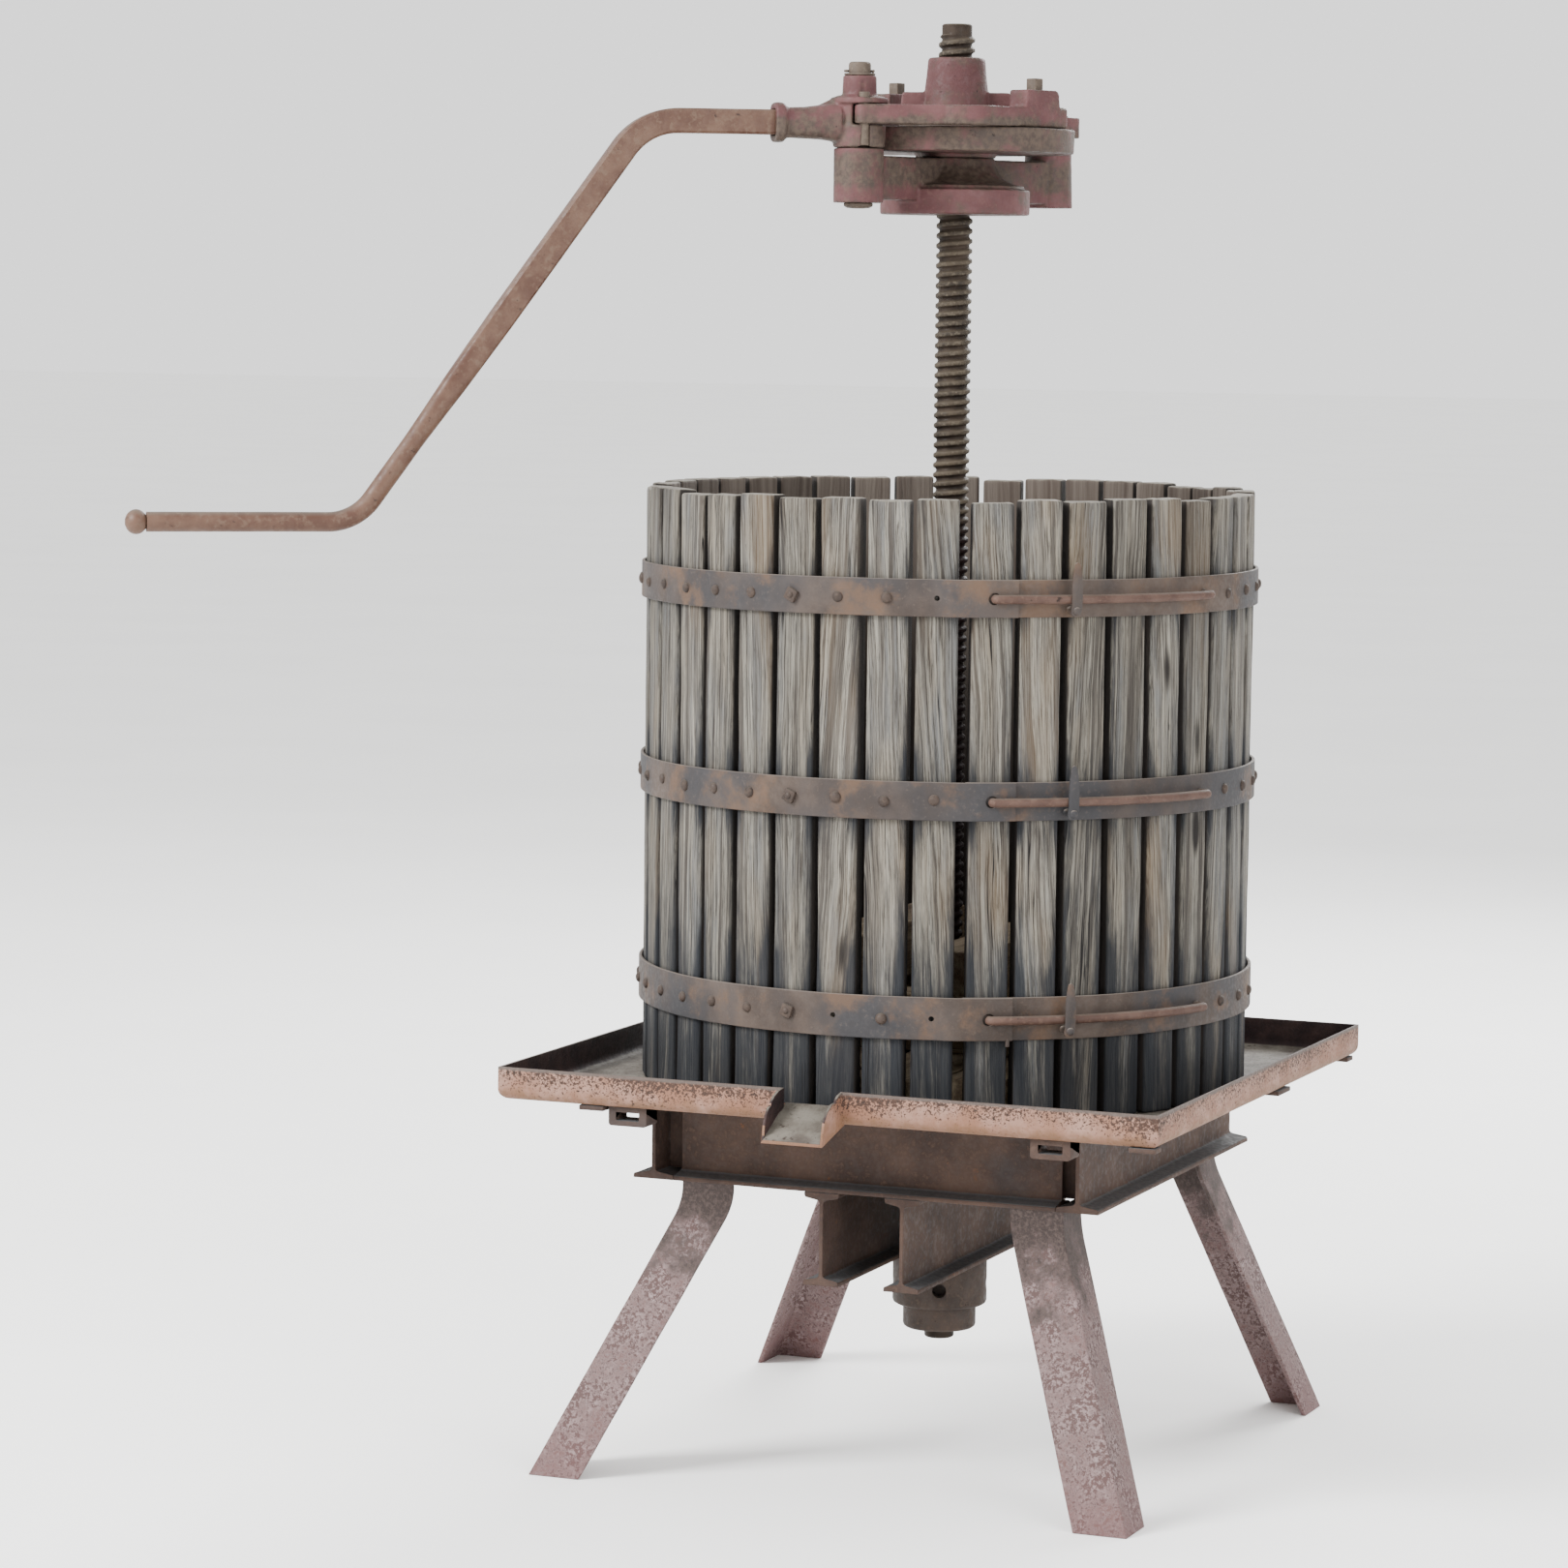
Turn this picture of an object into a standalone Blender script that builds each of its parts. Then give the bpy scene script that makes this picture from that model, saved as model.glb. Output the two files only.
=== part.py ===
"""Basket wine press: steel stand and tray, two-part slatted basket, threaded spindle and ratchet head.

Units are metres and +Z is up.  The ground is z = 0.  Every shape is drawn about the spindle's axis and
hangs from the empty "press", which puts the middle of the whole footprint at the world origin.
The front of the press, where the juice spout is, faces -Y.
"""
import math

import bmesh
import bpy
from mathutils import Matrix, Vector

GAP = 0.0003                    # clearance left between neighbouring solids
SPINDLE_AT = (0.1720, 0.1160)   # the spindle's axis, from the middle of the footprint

# tray
TRAY_X, TRAY_Y = 0.390, 0.382   # half width and half depth over the walls
TRAY_BOTTOM, TRAY_TOP = 0.436, 0.473
TRAY_SHEET = 0.003
TRAY_BEND = 0.012               # outside radius where floor turns into wall
SPOUT_LEFT, SPOUT_RIGHT = -0.046, 0.026
SPOUT_REACH, SPOUT_DROP = 0.056, 0.017

# stand
FRAME_X = 0.280                 # half width over the side beams' flanges
FRAME_FRONT, FRAME_BACK = -0.253, 0.297
BEAM_HEIGHT, BEAM_FLANGE = 0.100, 0.050
LOW_HEIGHT, LOW_FLANGE, LOW_APART = 0.106, 0.042, 0.097
WEB, FLANGE_EDGE, FLANGE_ROOT = 0.0045, 0.005, 0.0085
LEG_SIDE, LEG_SHEET = 0.062, 0.006
LEG_TOP_X, LEG_TOP_SHIFT = 0.229, 0.009
LEG_FOOT_X, LEG_FOOT_SHIFT = 0.3585, -0.0105
LEG_FOOT_FRONT, LEG_FOOT_BACK = -0.340, 0.3965
LEG_STRAIGHT = 0.016            # upright stretch below the frame before the leg splays

# spindle
SPINDLE_BOTTOM, SPINDLE_TOP = 0.1294, 1.6487
THREAD_R, CORE_R = 0.0208, 0.0172
THREAD_TOP, THREAD_BOTTOM = 1.637, 0.142
LEAD = 0.0114
COLLAR_R, COLLAR_BOTTOM = 0.055, 0.1697
RING_R, RING_BOTTOM = 0.0425, 0.1420

# basket
STAVES_PER_HALF = 20
STAVE_WIDTH, STAVE_THICK = 0.046, 0.024
STAVE_FACE = 0.3490             # distance of a stave's outer face from the axis
BASKET_BOTTOM, BASKET_RIM = TRAY_BOTTOM + TRAY_SHEET + GAP, 1.1215
HOOP_IN, HOOP_THICK = 0.3505, 0.004
HOOP_LEVELS = {"top": (0.9935, 1.0345), "middle": (0.7715, 0.8138), "bottom": (0.5300, 0.5773)}
SPLIT = -66.6                   # degrees, where the two halves meet at the front
SPLIT_SPARE = 0.5               # degrees left free at each end of a half
LAP = 9.3                       # degrees that a hoop runs past the split, over the other half's hoop
LAP_RISE = 0.0048               # how far the lapping end stands out
ROD_R, ROD_AT = 0.005, 0.3668
ROD_START, ROD_END = 5.1, 49.8  # degrees past the split
KEEPER_AT = 18.9                # degrees past the split
KEEPER_DROP = 0.0125            # rivet below the rod's centre line

# pressing stack
BOARD_R, BOARD_THICK, BOARD_SLOT = 0.316, 0.042, 0.006
BLOCK_SIDE, BLOCK_LENGTH, BLOCK_OFF = 0.065, 0.420, 0.085

# head: X' runs from the spindle to the lever's pivot, at HEAD_TURN from +X
HEAD_TURN = 250.5
PIVOT_OFF = 0.168
BASE_BOTTOM, BASE_R, BASE_TOP, PEDESTAL_TOP = 1.4323, 0.0855, 1.461, 1.4965
BOSS_R, BOSS_BOTTOM, BOSS_TOP, FAR_BOSS_TOP = 0.028, 1.4430, 1.5036, 1.5245
WHEEL_BOTTOM, WHEEL_TOP, WHEEL_R = 1.5022, 1.5295, 0.136
HUB_TOP = 1.6105
HOLES, HOLE_CIRCLE, HOLE_SIDE = 12, 0.115, 0.0175
LINK_BOTTOM, LINK_TOP, BOX_TOP = WHEEL_TOP + GAP, 1.5520, 1.5720
PIVOT_R, CRANK, CRANK_R = 0.0125, 0.024, 0.006
LEVER_REST = -36.0              # degrees from X' at rest
LEVER_Z = 1.5308                # centre line of the lever's level part
BAR_HALF, GRIP_R = 0.0138, 0.011


def start():
    for thing in list(bpy.data.objects):
        bpy.data.objects.remove(thing, do_unlink=True)
    press = bpy.data.collections.new("basket_wine_press")
    cutters = bpy.data.collections.new("cutters")
    for group in (press, cutters):
        bpy.context.scene.collection.children.link(group)
    root = bpy.data.objects.new("press", None)
    root.location = (SPINDLE_AT[0], SPINDLE_AT[1], 0)
    press.objects.link(root)
    return press, cutters, root


PARTS, CUTTERS, ROOT = start()


def material(name, colour, roughness, metallic):
    made = bpy.data.materials.new(name)
    made.use_nodes = True
    shader = made.node_tree.nodes["Principled BSDF"]
    shader.inputs["Base Color"].default_value = (*colour, 1.0)
    shader.inputs["Roughness"].default_value = roughness
    shader.inputs["Metallic"].default_value = metallic
    return made


COLOURS = {
    "tray_paint": ((0.52, 0.33, 0.27), 0.75, 0.1), "beam_steel": ((0.07, 0.05, 0.045), 0.8, 0.3),
    "leg_paint": ((0.46, 0.37, 0.38), 0.8, 0.1), "spindle_steel": ((0.13, 0.10, 0.075), 0.6, 0.6),
    "nut_steel": ((0.08, 0.055, 0.045), 0.7, 0.4), "stave_oak": ((0.27, 0.26, 0.24), 0.9, 0.0),
    "hoop_steel": ((0.13, 0.10, 0.09), 0.8, 0.3), "rod_steel": ((0.24, 0.14, 0.11), 0.8, 0.3),
    "press_wood": ((0.48, 0.38, 0.27), 0.85, 0.0), "head_iron": ((0.27, 0.12, 0.13), 0.75, 0.2),
    "lever_steel": ((0.26, 0.15, 0.11), 0.75, 0.3), "pin_steel": ((0.20, 0.15, 0.12), 0.7, 0.4),
}
MATERIALS = {name: material(name, *values) for name, values in COLOURS.items()}


def add(name, mesh, parent, colour):
    """Put a mesh drawn about the spindle's axis into the press, under its parent empty."""
    part = bpy.data.objects.new(name, mesh)
    part.parent = parent
    part.location = -Vector(parent["place"]) if parent != ROOT else Vector((0, 0, 0))
    part.data.materials.append(MATERIALS[colour])
    PARTS.objects.link(part)
    return part


def joint(name, place, parent=None):
    """An empty on a joint's axis; place is measured from the spindle's axis."""
    empty = bpy.data.objects.new(name, None)
    empty["place"] = tuple(place)
    empty.parent = parent or ROOT
    empty.location = Vector(place) - (Vector(parent["place"]) if parent else Vector((0, 0, 0)))
    PARTS.objects.link(empty)
    return empty


def boolean(part, mesh, operation):
    """Cut a mesh from a part, or join it on; both are drawn about the spindle's axis."""
    tool = bpy.data.objects.new(part.name + "_tool", mesh)
    tool.parent = part
    tool.hide_render = True
    tool.display_type = "WIRE"
    CUTTERS.objects.link(tool)
    change = part.modifiers.new(operation.lower(), "BOOLEAN")
    change.operation = operation
    change.object = tool
    change.solver = "EXACT"


def to_mesh(bm, name, smooth=0.0):
    bmesh.ops.recalc_face_normals(bm, faces=bm.faces)
    mesh = bpy.data.meshes.new(name)
    bm.to_mesh(mesh)
    bm.free()
    if smooth:
        mesh.shade_smooth()
        mesh.set_sharp_from_angle(angle=math.radians(smooth))
    return mesh


def box(name, low, high, turn=0.0):
    """A box between two corners, turned by some degrees about the spindle's axis."""
    bm = bmesh.new()
    size = Vector(high) - Vector(low)
    middle = (Vector(high) + Vector(low)) / 2
    place = Matrix.Rotation(math.radians(turn), 4, "Z") @ Matrix.Translation(middle) @ Matrix.Diagonal((*size, 1))
    bmesh.ops.create_cube(bm, size=1, matrix=place)
    return to_mesh(bm, name)


def rod(name, radius, start, end, segments=24):
    """A round bar from one point to another."""
    bm = bmesh.new()
    along = Vector(end) - Vector(start)
    place = Matrix.Translation((Vector(start) + Vector(end)) / 2) @ along.to_track_quat("Z", "Y").to_matrix().to_4x4()
    bmesh.ops.create_cone(bm, cap_ends=True, segments=segments, radius1=radius, radius2=radius,
                          depth=along.length, matrix=place)
    return to_mesh(bm, name, 40)


def prism(name, outline, low, high, place=None):
    """A flat outline of (x, y) points, given depth from low to high."""
    bm = bmesh.new()
    face = bm.faces.new([bm.verts.new((x, y, low)) for x, y in outline])
    grown = bmesh.ops.extrude_face_region(bm, geom=[face])
    moved = [item for item in grown["geom"] if isinstance(item, bmesh.types.BMVert)]
    bmesh.ops.translate(bm, verts=moved, vec=(0, 0, high - low))
    bmesh.ops.transform(bm, verts=bm.verts, matrix=place or Matrix.Identity(4))
    return to_mesh(bm, name, 30)


def turned(name, profile, parent, colour, centre=(0, 0), segments=48):
    """A closed profile of (radius, height), from the top down its outer side, turned about Z."""
    bm = bmesh.new()
    ring = [bm.verts.new((radius, 0, height)) for radius, height in profile]
    for here, after in zip(ring, ring[1:] + ring[:1]):
        bm.edges.new((here, after))
    mesh = bpy.data.meshes.new(name)
    bm.to_mesh(mesh)
    bm.free()
    part = add(name, mesh, parent, colour)
    part.location += Vector((centre[0], centre[1], 0))
    screw = part.modifiers.new("turn", "SCREW")
    screw.steps = screw.render_steps = segments
    screw.use_merge_vertices = True
    screw.merge_threshold = 0.00001
    screw.use_smooth_shade = False
    return part


def loft(name, sections):
    """A solid through sections that all have the same number of points."""
    bm = bmesh.new()
    rows = [[bm.verts.new(point) for point in section] for section in sections]
    for row, after in zip(rows, rows[1:]):
        for i in range(len(row)):
            j = (i + 1) % len(row)
            bm.faces.new((row[i], row[j], after[j], after[i]))
    bm.faces.new(rows[0])
    bm.faces.new(list(reversed(rows[-1])))
    return to_mesh(bm, name, 35)


def polar(radius, degrees, height=None):
    x, y = radius * math.cos(math.radians(degrees)), radius * math.sin(math.radians(degrees))
    return (x, y) if height is None else (x, y, height)


def head(x, y, z=None):
    """A point of the head's own frame (X' towards the lever's pivot) in the press's frame."""
    c, s = math.cos(math.radians(HEAD_TURN)), math.sin(math.radians(HEAD_TURN))
    flat = (x * c - y * s, x * s + y * c)
    return flat if z is None else (*flat, z)


# ---------------------------------------------------------------- tray
def make_tray():
    bend = [(TRAY_BEND + 0.005, TRAY_BOTTOM)]
    bend += [(TRAY_BEND * (1 - math.sin(a)), TRAY_BOTTOM + TRAY_BEND * (1 - math.cos(a)))
             for a in (0, math.pi / 6, math.pi / 3, math.pi / 2)] + [(0, TRAY_TOP)]
    bm = bmesh.new()
    rings = []
    for inset, height in bend:
        x, y = TRAY_X - inset, TRAY_Y - inset
        around = [(-x, -y), (SPOUT_LEFT, -y), (SPOUT_RIGHT, -y), (x, -y), (x, y), (-x, y)]
        rings.append([bm.verts.new((*point, height)) for point in around])
    bm.faces.new(rings[0])
    for low, high in zip(rings, rings[1:]):
        for i in range(6):
            if i != 1 or high is rings[1]:
                j = (i + 1) % 6
                bm.faces.new((low[i], low[j], high[j], high[i]))
    lips = []
    for column, x in ((1, SPOUT_LEFT), (2, SPOUT_RIGHT)):
        lip = [bm.verts.new((x, -TRAY_Y - reach, height)) for reach, height in (
            (0.030, TRAY_TOP - 0.009), (0.052, TRAY_BOTTOM + 0.012), (SPOUT_REACH, TRAY_BOTTOM - SPOUT_DROP))]
        bm.faces.new([ring[column] for ring in rings[1:]] + lip)
        lips.append(lip[-1])
    bm.faces.new((rings[1][2], rings[1][1], lips[0], lips[1]))
    mesh = to_mesh(bm, "tray")
    if mesh.polygons[0].normal.z > 0:
        mesh.flip_normals()
    tray = add("tray", mesh, ROOT, "tray_paint")
    shell = tray.modifiers.new("sheet", "SOLIDIFY")
    shell.thickness = TRAY_SHEET
    shell.offset = -1
    shell.use_even_offset = True
    boolean(tray, rod("spindle_hole", 0.026, (0, 0, 0.40), (0, 0, 0.46)), "DIFFERENCE")


# ---------------------------------------------------------------- stand
def beam_outline(height, flange, web=WEB):
    """An I section with tapered flanges, drawn about its middle."""
    half, top = flange / 2, height / 2
    right = [(half, -top), (half, -top + FLANGE_EDGE), (web / 2, -top + FLANGE_ROOT),
             (web / 2, top - FLANGE_ROOT), (half, top - FLANGE_EDGE), (half, top)]
    return right + [(-x, -y) for x, y in right]


def make_beam(name, height, flange, centre, length, across):
    """A beam of the given length along Y, or along X if it runs across."""
    stand = Matrix.Rotation(math.pi / 2, 4, "X")
    turn = Matrix.Rotation(math.pi / 2, 4, "Z") if across else Matrix.Identity(4)
    place = Matrix.Translation(centre) @ turn @ stand
    add(name, prism(name, beam_outline(height, flange), -length / 2, length / 2, place), ROOT, "beam_steel")


def make_stand():
    depth, middle = FRAME_BACK - FRAME_FRONT, (FRAME_BACK + FRAME_FRONT) / 2
    high = TRAY_BOTTOM - GAP - BEAM_HEIGHT / 2
    low = TRAY_BOTTOM - 2 * GAP - BEAM_HEIGHT - LOW_HEIGHT / 2
    half = BEAM_FLANGE / 2
    for side, name in ((-1, "left"), (1, "right")):
        make_beam("side_beam_" + name, BEAM_HEIGHT, BEAM_FLANGE, (side * (FRAME_X - half), middle, high), depth, False)
        make_beam("lower_beam_" + name, LOW_HEIGHT, LOW_FLANGE, (side * LOW_APART / 2, middle, low), depth, False)
    between = 2 * (FRAME_X - BEAM_FLANGE - GAP)
    for name, y in (("front_beam", FRAME_FRONT + half), ("back_beam", FRAME_BACK - half)):
        make_beam(name, BEAM_HEIGHT, BEAM_FLANGE, (0, y, high), between, True)
    top = TRAY_BOTTOM - 2 * GAP - BEAM_HEIGHT
    for y_side, y_name in ((-1, "front"), (1, "back")):
        y_top = FRAME_FRONT + 0.003 if y_side < 0 else FRAME_BACK - 0.003
        y_foot = LEG_FOOT_FRONT if y_side < 0 else LEG_FOOT_BACK
        for x_side, x_name in ((-1, "left"), (1, "right")):
            x_top = x_side * LEG_TOP_X + LEG_TOP_SHIFT
            x_foot = x_side * LEG_FOOT_X + LEG_FOOT_SHIFT
            name = "leg_" + y_name + "_" + x_name
            levels = [(x_top, y_top, top), (x_top, y_top, top - LEG_STRAIGHT), (x_foot, y_foot, 0.0)]
            add(name, loft(name, [angle_section(*level, x_side, y_side) for level in levels]), ROOT, "leg_paint")


def angle_section(x, y, z, x_side, y_side):
    """An L whose outer corner is at (x, y) and whose sides point back towards the middle."""
    a, t = LEG_SIDE, LEG_SHEET
    outline = [(0, 0), (a, 0), (a, t), (t, t), (t, a), (0, a)]
    return [(x - x_side * u, y - y_side * v, z) for u, v in outline]


def make_carry_loops():
    """Square staples under the tray's front edge, open through from front to back."""
    for name, x in (("left", -0.236), ("right", 0.2635)):
        z = TRAY_BOTTOM - GAP
        y = -TRAY_Y + 0.013
        loop = add("carry_loop_" + name, box(name, (x - 0.023, y, z - 0.0215), (x + 0.023, y + 0.030, z)), ROOT, "beam_steel")
        hole = box(name + "_hole", (x - 0.014, y - 0.01, z - 0.0155), (x + 0.014, y + 0.05, z - 0.006))
        boolean(loop, hole, "DIFFERENCE")


# ---------------------------------------------------------------- spindle
def make_spindle():
    spindle = [(0.0, SPINDLE_TOP), (CORE_R - 0.001, SPINDLE_TOP), (CORE_R, SPINDLE_TOP - 0.001), (CORE_R, THREAD_TOP),
               (THREAD_R, THREAD_TOP - 0.004), (THREAD_R, THREAD_BOTTOM), (CORE_R + 0.001, THREAD_BOTTOM),
               (CORE_R + 0.001, SPINDLE_BOTTOM), (0.0, SPINDLE_BOTTOM)]
    sections = [[polar(radius, a * 15, height) for a in range(24)] for radius, height in spindle if radius]
    add("spindle", loft("spindle", sections), ROOT, "spindle_steel")
    collar_top = TRAY_BOTTOM - 3 * GAP - BEAM_HEIGHT - LOW_HEIGHT
    bore = THREAD_R + GAP
    collar = turned("spindle_collar", [(bore, collar_top), (COLLAR_R, collar_top), (COLLAR_R, COLLAR_BOTTOM + 0.003),
                    (COLLAR_R - 0.003, COLLAR_BOTTOM), (bore, COLLAR_BOTTOM)], ROOT, "nut_steel", segments=32)
    for k in range(4):
        turn = 20 + 90 * k
        hole = rod("tommy_hole", 0.008, polar(0.036, turn, 0.193), polar(0.07, turn, 0.193), 12)
        boolean(collar, hole, "DIFFERENCE")
    turned("lock_ring", [(bore, COLLAR_BOTTOM - GAP), (RING_R, COLLAR_BOTTOM - GAP), (RING_R, RING_BOTTOM + 0.003),
           (RING_R - 0.002, RING_BOTTOM), (bore, RING_BOTTOM)], ROOT, "nut_steel", segments=32)


# ---------------------------------------------------------------- basket
def hoop_mesh(name, start, low, high, inner):
    """A half hoop from its split, under the other half's end, to its own lapping end."""
    step = (180 - 2 * SPLIT_SPARE) / STAVES_PER_HALF / 2
    angles = [SPLIT_SPARE + step * k for k in range(2 * STAVES_PER_HALF + 1)] + [180 + LAP / 2, 180 + LAP]
    rise_from, rise_to = 174.0, 179.0
    sections = []
    for angle in angles:
        risen = min(1, max(0, (angle - rise_from) / (rise_to - rise_from)))
        near = inner + risen * (HOOP_IN + LAP_RISE - inner)
        far = HOOP_IN + HOOP_THICK + risen * LAP_RISE
        sections.append([polar(near, start + angle, low), polar(far, start + angle, low),
                         polar(far, start + angle, high), polar(near, start + angle, high)])
    return loft(name, sections)


def make_half_basket(side, start, parent):
    """Twenty staves on three hoops; the wall is the staves riveted to the middle hoop as one."""
    bm = bmesh.new()
    pitch = (180 - 2 * SPLIT_SPARE) / STAVES_PER_HALF
    for k in range(STAVES_PER_HALF):
        turn = Matrix.Rotation(math.radians(start + SPLIT_SPARE + pitch * (k + 0.5)), 4, "Z")
        low, high = BASKET_BOTTOM, BASKET_RIM
        middle = Matrix.Translation((STAVE_FACE - STAVE_THICK / 2, 0, (low + high) / 2))
        bmesh.ops.create_cube(bm, size=1, matrix=turn @ middle @ Matrix.Diagonal((STAVE_THICK, STAVE_WIDTH, high - low, 1)))
    wall = add("basket_wall_" + side, to_mesh(bm, side), parent, "stave_oak")
    boolean(wall, hoop_mesh("middle", start, *HOOP_LEVELS["middle"], STAVE_FACE - 0.001), "UNION")
    for level in ("top", "bottom"):
        name = "hoop_" + level + "_" + side
        add(name, hoop_mesh(name, start, *HOOP_LEVELS[level], HOOP_IN), parent, "hoop_steel")


def make_closing(side, split, parent, holder):
    """The rods and turn-button keepers that hold one split shut; they sit on the half past the split."""
    for level, (low, high) in HOOP_LEVELS.items():
        z = (low + high) / 2
        lap_face = HOOP_IN + HOOP_THICK + LAP_RISE
        path = [(lap_face + 0.0025, ROD_START)]
        path += [(ROD_AT - 0.0015, ROD_START), (ROD_AT, ROD_START + 0.6)]
        spread = (ROD_END - ROD_START - 1.2) / 9
        path += [(ROD_AT, ROD_START + 0.6 + spread * k) for k in range(1, 10)]
        path += [(ROD_AT - 0.0015, ROD_END), (HOOP_IN + HOOP_THICK + GAP, ROD_END)]
        name = "closing_rod_" + level + "_" + side
        add(name, bar_along(name, [polar(r, split + a, z) for r, a in path], ROD_R), parent, "rod_steel")
        place = polar(HOOP_IN, split + KEEPER_AT, z - KEEPER_DROP)
        name = "keeper_" + level + "_" + side
        swing = joint(name + "_axis", place, holder)
        strip, stem = keeper_meshes(name, split + KEEPER_AT, z - KEEPER_DROP)
        boolean(add(name, strip, swing, "rod_steel"), stem, "UNION")


def bar_along(name, points, radius, sides=10):
    """A round bar through points, with level sections at its bends."""
    bm_sections = []
    points = [Vector(point) for point in points]
    for i, point in enumerate(points):
        before, after = points[max(i - 1, 0)], points[min(i + 1, len(points) - 1)]
        along = (after - before).normalized()
        across = along.cross(Vector((0, 0, 1))).normalized()
        bm_sections.append([point + radius * (math.cos(a) * across + math.sin(a) * Vector((0, 0, 1)))
                            for a in (2 * math.pi * k / sides for k in range(sides))])
    return loft(name, bm_sections)


def keeper_meshes(name, turn, z):
    """A tapered strip in front of the rod, and the stem that carries it out from the hoop."""
    front, thick = ROD_AT + ROD_R + 0.0008, 0.003
    outline = [(-0.0065, -0.005), (0.0045, -0.005), (0.0065, 0.010), (0.0055, 0.040), (0.002, 0.0535),
               (-0.002, 0.0535), (-0.0045, 0.040), (-0.0055, 0.010)]
    frame = Matrix.Rotation(math.radians(turn), 4, "Z") @ Matrix.Translation((0, 0, z))
    upright = Matrix(((0, 0, 1, 0), (1, 0, 0, 0), (0, 1, 0, 0), (0, 0, 0, 1)))
    strip = prism(name, outline, front, front + thick, frame @ upright)
    foot = polar(HOOP_IN + HOOP_THICK + GAP, turn, z)
    return strip, rod(name + "_stem", 0.0042, foot, polar(front + GAP, turn, z), 10)


def make_basket():
    left = joint("basket_left_axis", (0, 0, BASKET_BOTTOM))
    make_half_basket("right", SPLIT, ROOT)
    make_half_basket("left", SPLIT + 180, left)
    make_closing("front", SPLIT, ROOT, None)
    make_closing("back", SPLIT + 180, left, left)


# ---------------------------------------------------------------- pressing stack
def make_stack():
    """Two half-round boards and the four blocks that carry the head's push down to them."""
    lift = joint("stack_axis", (0, 0, BASKET_BOTTOM))
    low = BASKET_BOTTOM + GAP
    for side, start in (("right", -90), ("left", 90)):
        sign = 1 if side == "right" else -1
        arc = [polar(BOARD_R, start + 180 * k / 24) for k in range(25)]
        notch = [polar(0.027, start + 180 - 180 * k / 8) for k in range(9)]
        outline = [(x + sign * BOARD_SLOT / 2, y) for x, y in arc + notch]
        add("half_board_" + side, prism(side, outline, low, low + BOARD_THICK), lift, "press_wood")
    z = low + BOARD_THICK + GAP
    for name, y in (("front", -BLOCK_OFF), ("back", BLOCK_OFF)):
        size = (BLOCK_LENGTH / 2, BLOCK_SIDE / 2)
        add("block_" + name, box(name, (-size[0], y - size[1], z), (size[0], y + size[1], z + BLOCK_SIDE)), lift, "press_wood")
    z += BLOCK_SIDE + GAP
    for name, x in (("left", -BLOCK_OFF), ("right", BLOCK_OFF)):
        size = (BLOCK_SIDE / 2, BLOCK_LENGTH / 2)
        add("block_" + name, box(name, (x - size[0], -size[1], z), (x + size[0], size[1], z + BLOCK_SIDE)), lift, "press_wood")


# ---------------------------------------------------------------- head
def make_base(carrier):
    """The casting that pushes down: disc, flared pedestal and two bosses on ribs."""
    bore = THREAD_R + 0.003
    flare = [(0.0785, BASE_TOP), (0.0785, BASE_TOP + 0.004)]
    steps = 6
    for k in range(steps + 1):
        a = math.pi / 2 * k / steps
        flare.append((0.045 + 0.0325 * (1 - math.sin(a)), BASE_TOP + 0.004 + (PEDESTAL_TOP - BASE_TOP - 0.004) * (1 - math.cos(a))))
    outer = [(bore, PEDESTAL_TOP)] + list(reversed(flare))
    outer += [(BASE_R, BASE_TOP), (BASE_R, BASE_BOTTOM), (bore, BASE_BOTTOM)]
    base = turned("head_base", outer, carrier, "head_iron")
    for sign, top in ((1, BOSS_TOP), (-1, FAR_BOSS_TOP)):
        centre = head(sign * PIVOT_OFF, 0)
        boss = rod("boss", BOSS_R, (*centre, BOSS_BOTTOM), (*centre, top), 32)
        boolean(base, boss, "UNION")
        near, far = sorted((sign * 0.040, sign * (PIVOT_OFF - 0.010)))
        rib = box("rib", (near, -0.017, BOSS_BOTTOM + 0.004), (far, 0.017, PEDESTAL_TOP - 0.0006), HEAD_TURN)
        boolean(base, rib, "UNION")
    centre = head(PIVOT_OFF, 0)
    boolean(base, rod("bore", PIVOT_R + GAP, (*centre, 1.40), (*centre, 1.53)), "DIFFERENCE")
    clear = rod("clear", bore, (0, 0, 1.40), (0, 0, 1.52), 48)
    boolean(base, clear, "DIFFERENCE")


def make_wheel(carrier):
    """The nut: a tall boss on a flat wheel with square holes for the drop pins."""
    bore = THREAD_R + 2 * GAP
    profile = [(bore, HUB_TOP), (0.0285, HUB_TOP), (0.0325, HUB_TOP - 0.004), (0.0385, 1.5545), (0.044, WHEEL_TOP),
               (WHEEL_R, WHEEL_TOP), (WHEEL_R, WHEEL_BOTTOM), (0.046, WHEEL_BOTTOM), (0.046, PEDESTAL_TOP + GAP),
               (bore, PEDESTAL_TOP + GAP)]
    wheel = turned("nut_wheel", profile, carrier, "head_iron")
    for k in range(HOLES):
        half = HOLE_SIDE / 2
        cut = box("hole", (HOLE_CIRCLE - half, -half, WHEEL_BOTTOM - 0.01), (HOLE_CIRCLE + half, half, WHEEL_TOP + 0.01),
                  15 + k * 360 / HOLES)
        boolean(wheel, cut, "DIFFERENCE")
    for turn in (22.4, 202.4):
        lug = box("lug", (0.030, -0.013, WHEEL_TOP - 0.005), (0.064, 0.013, 1.571), turn)
        boolean(wheel, lug, "UNION")


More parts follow.
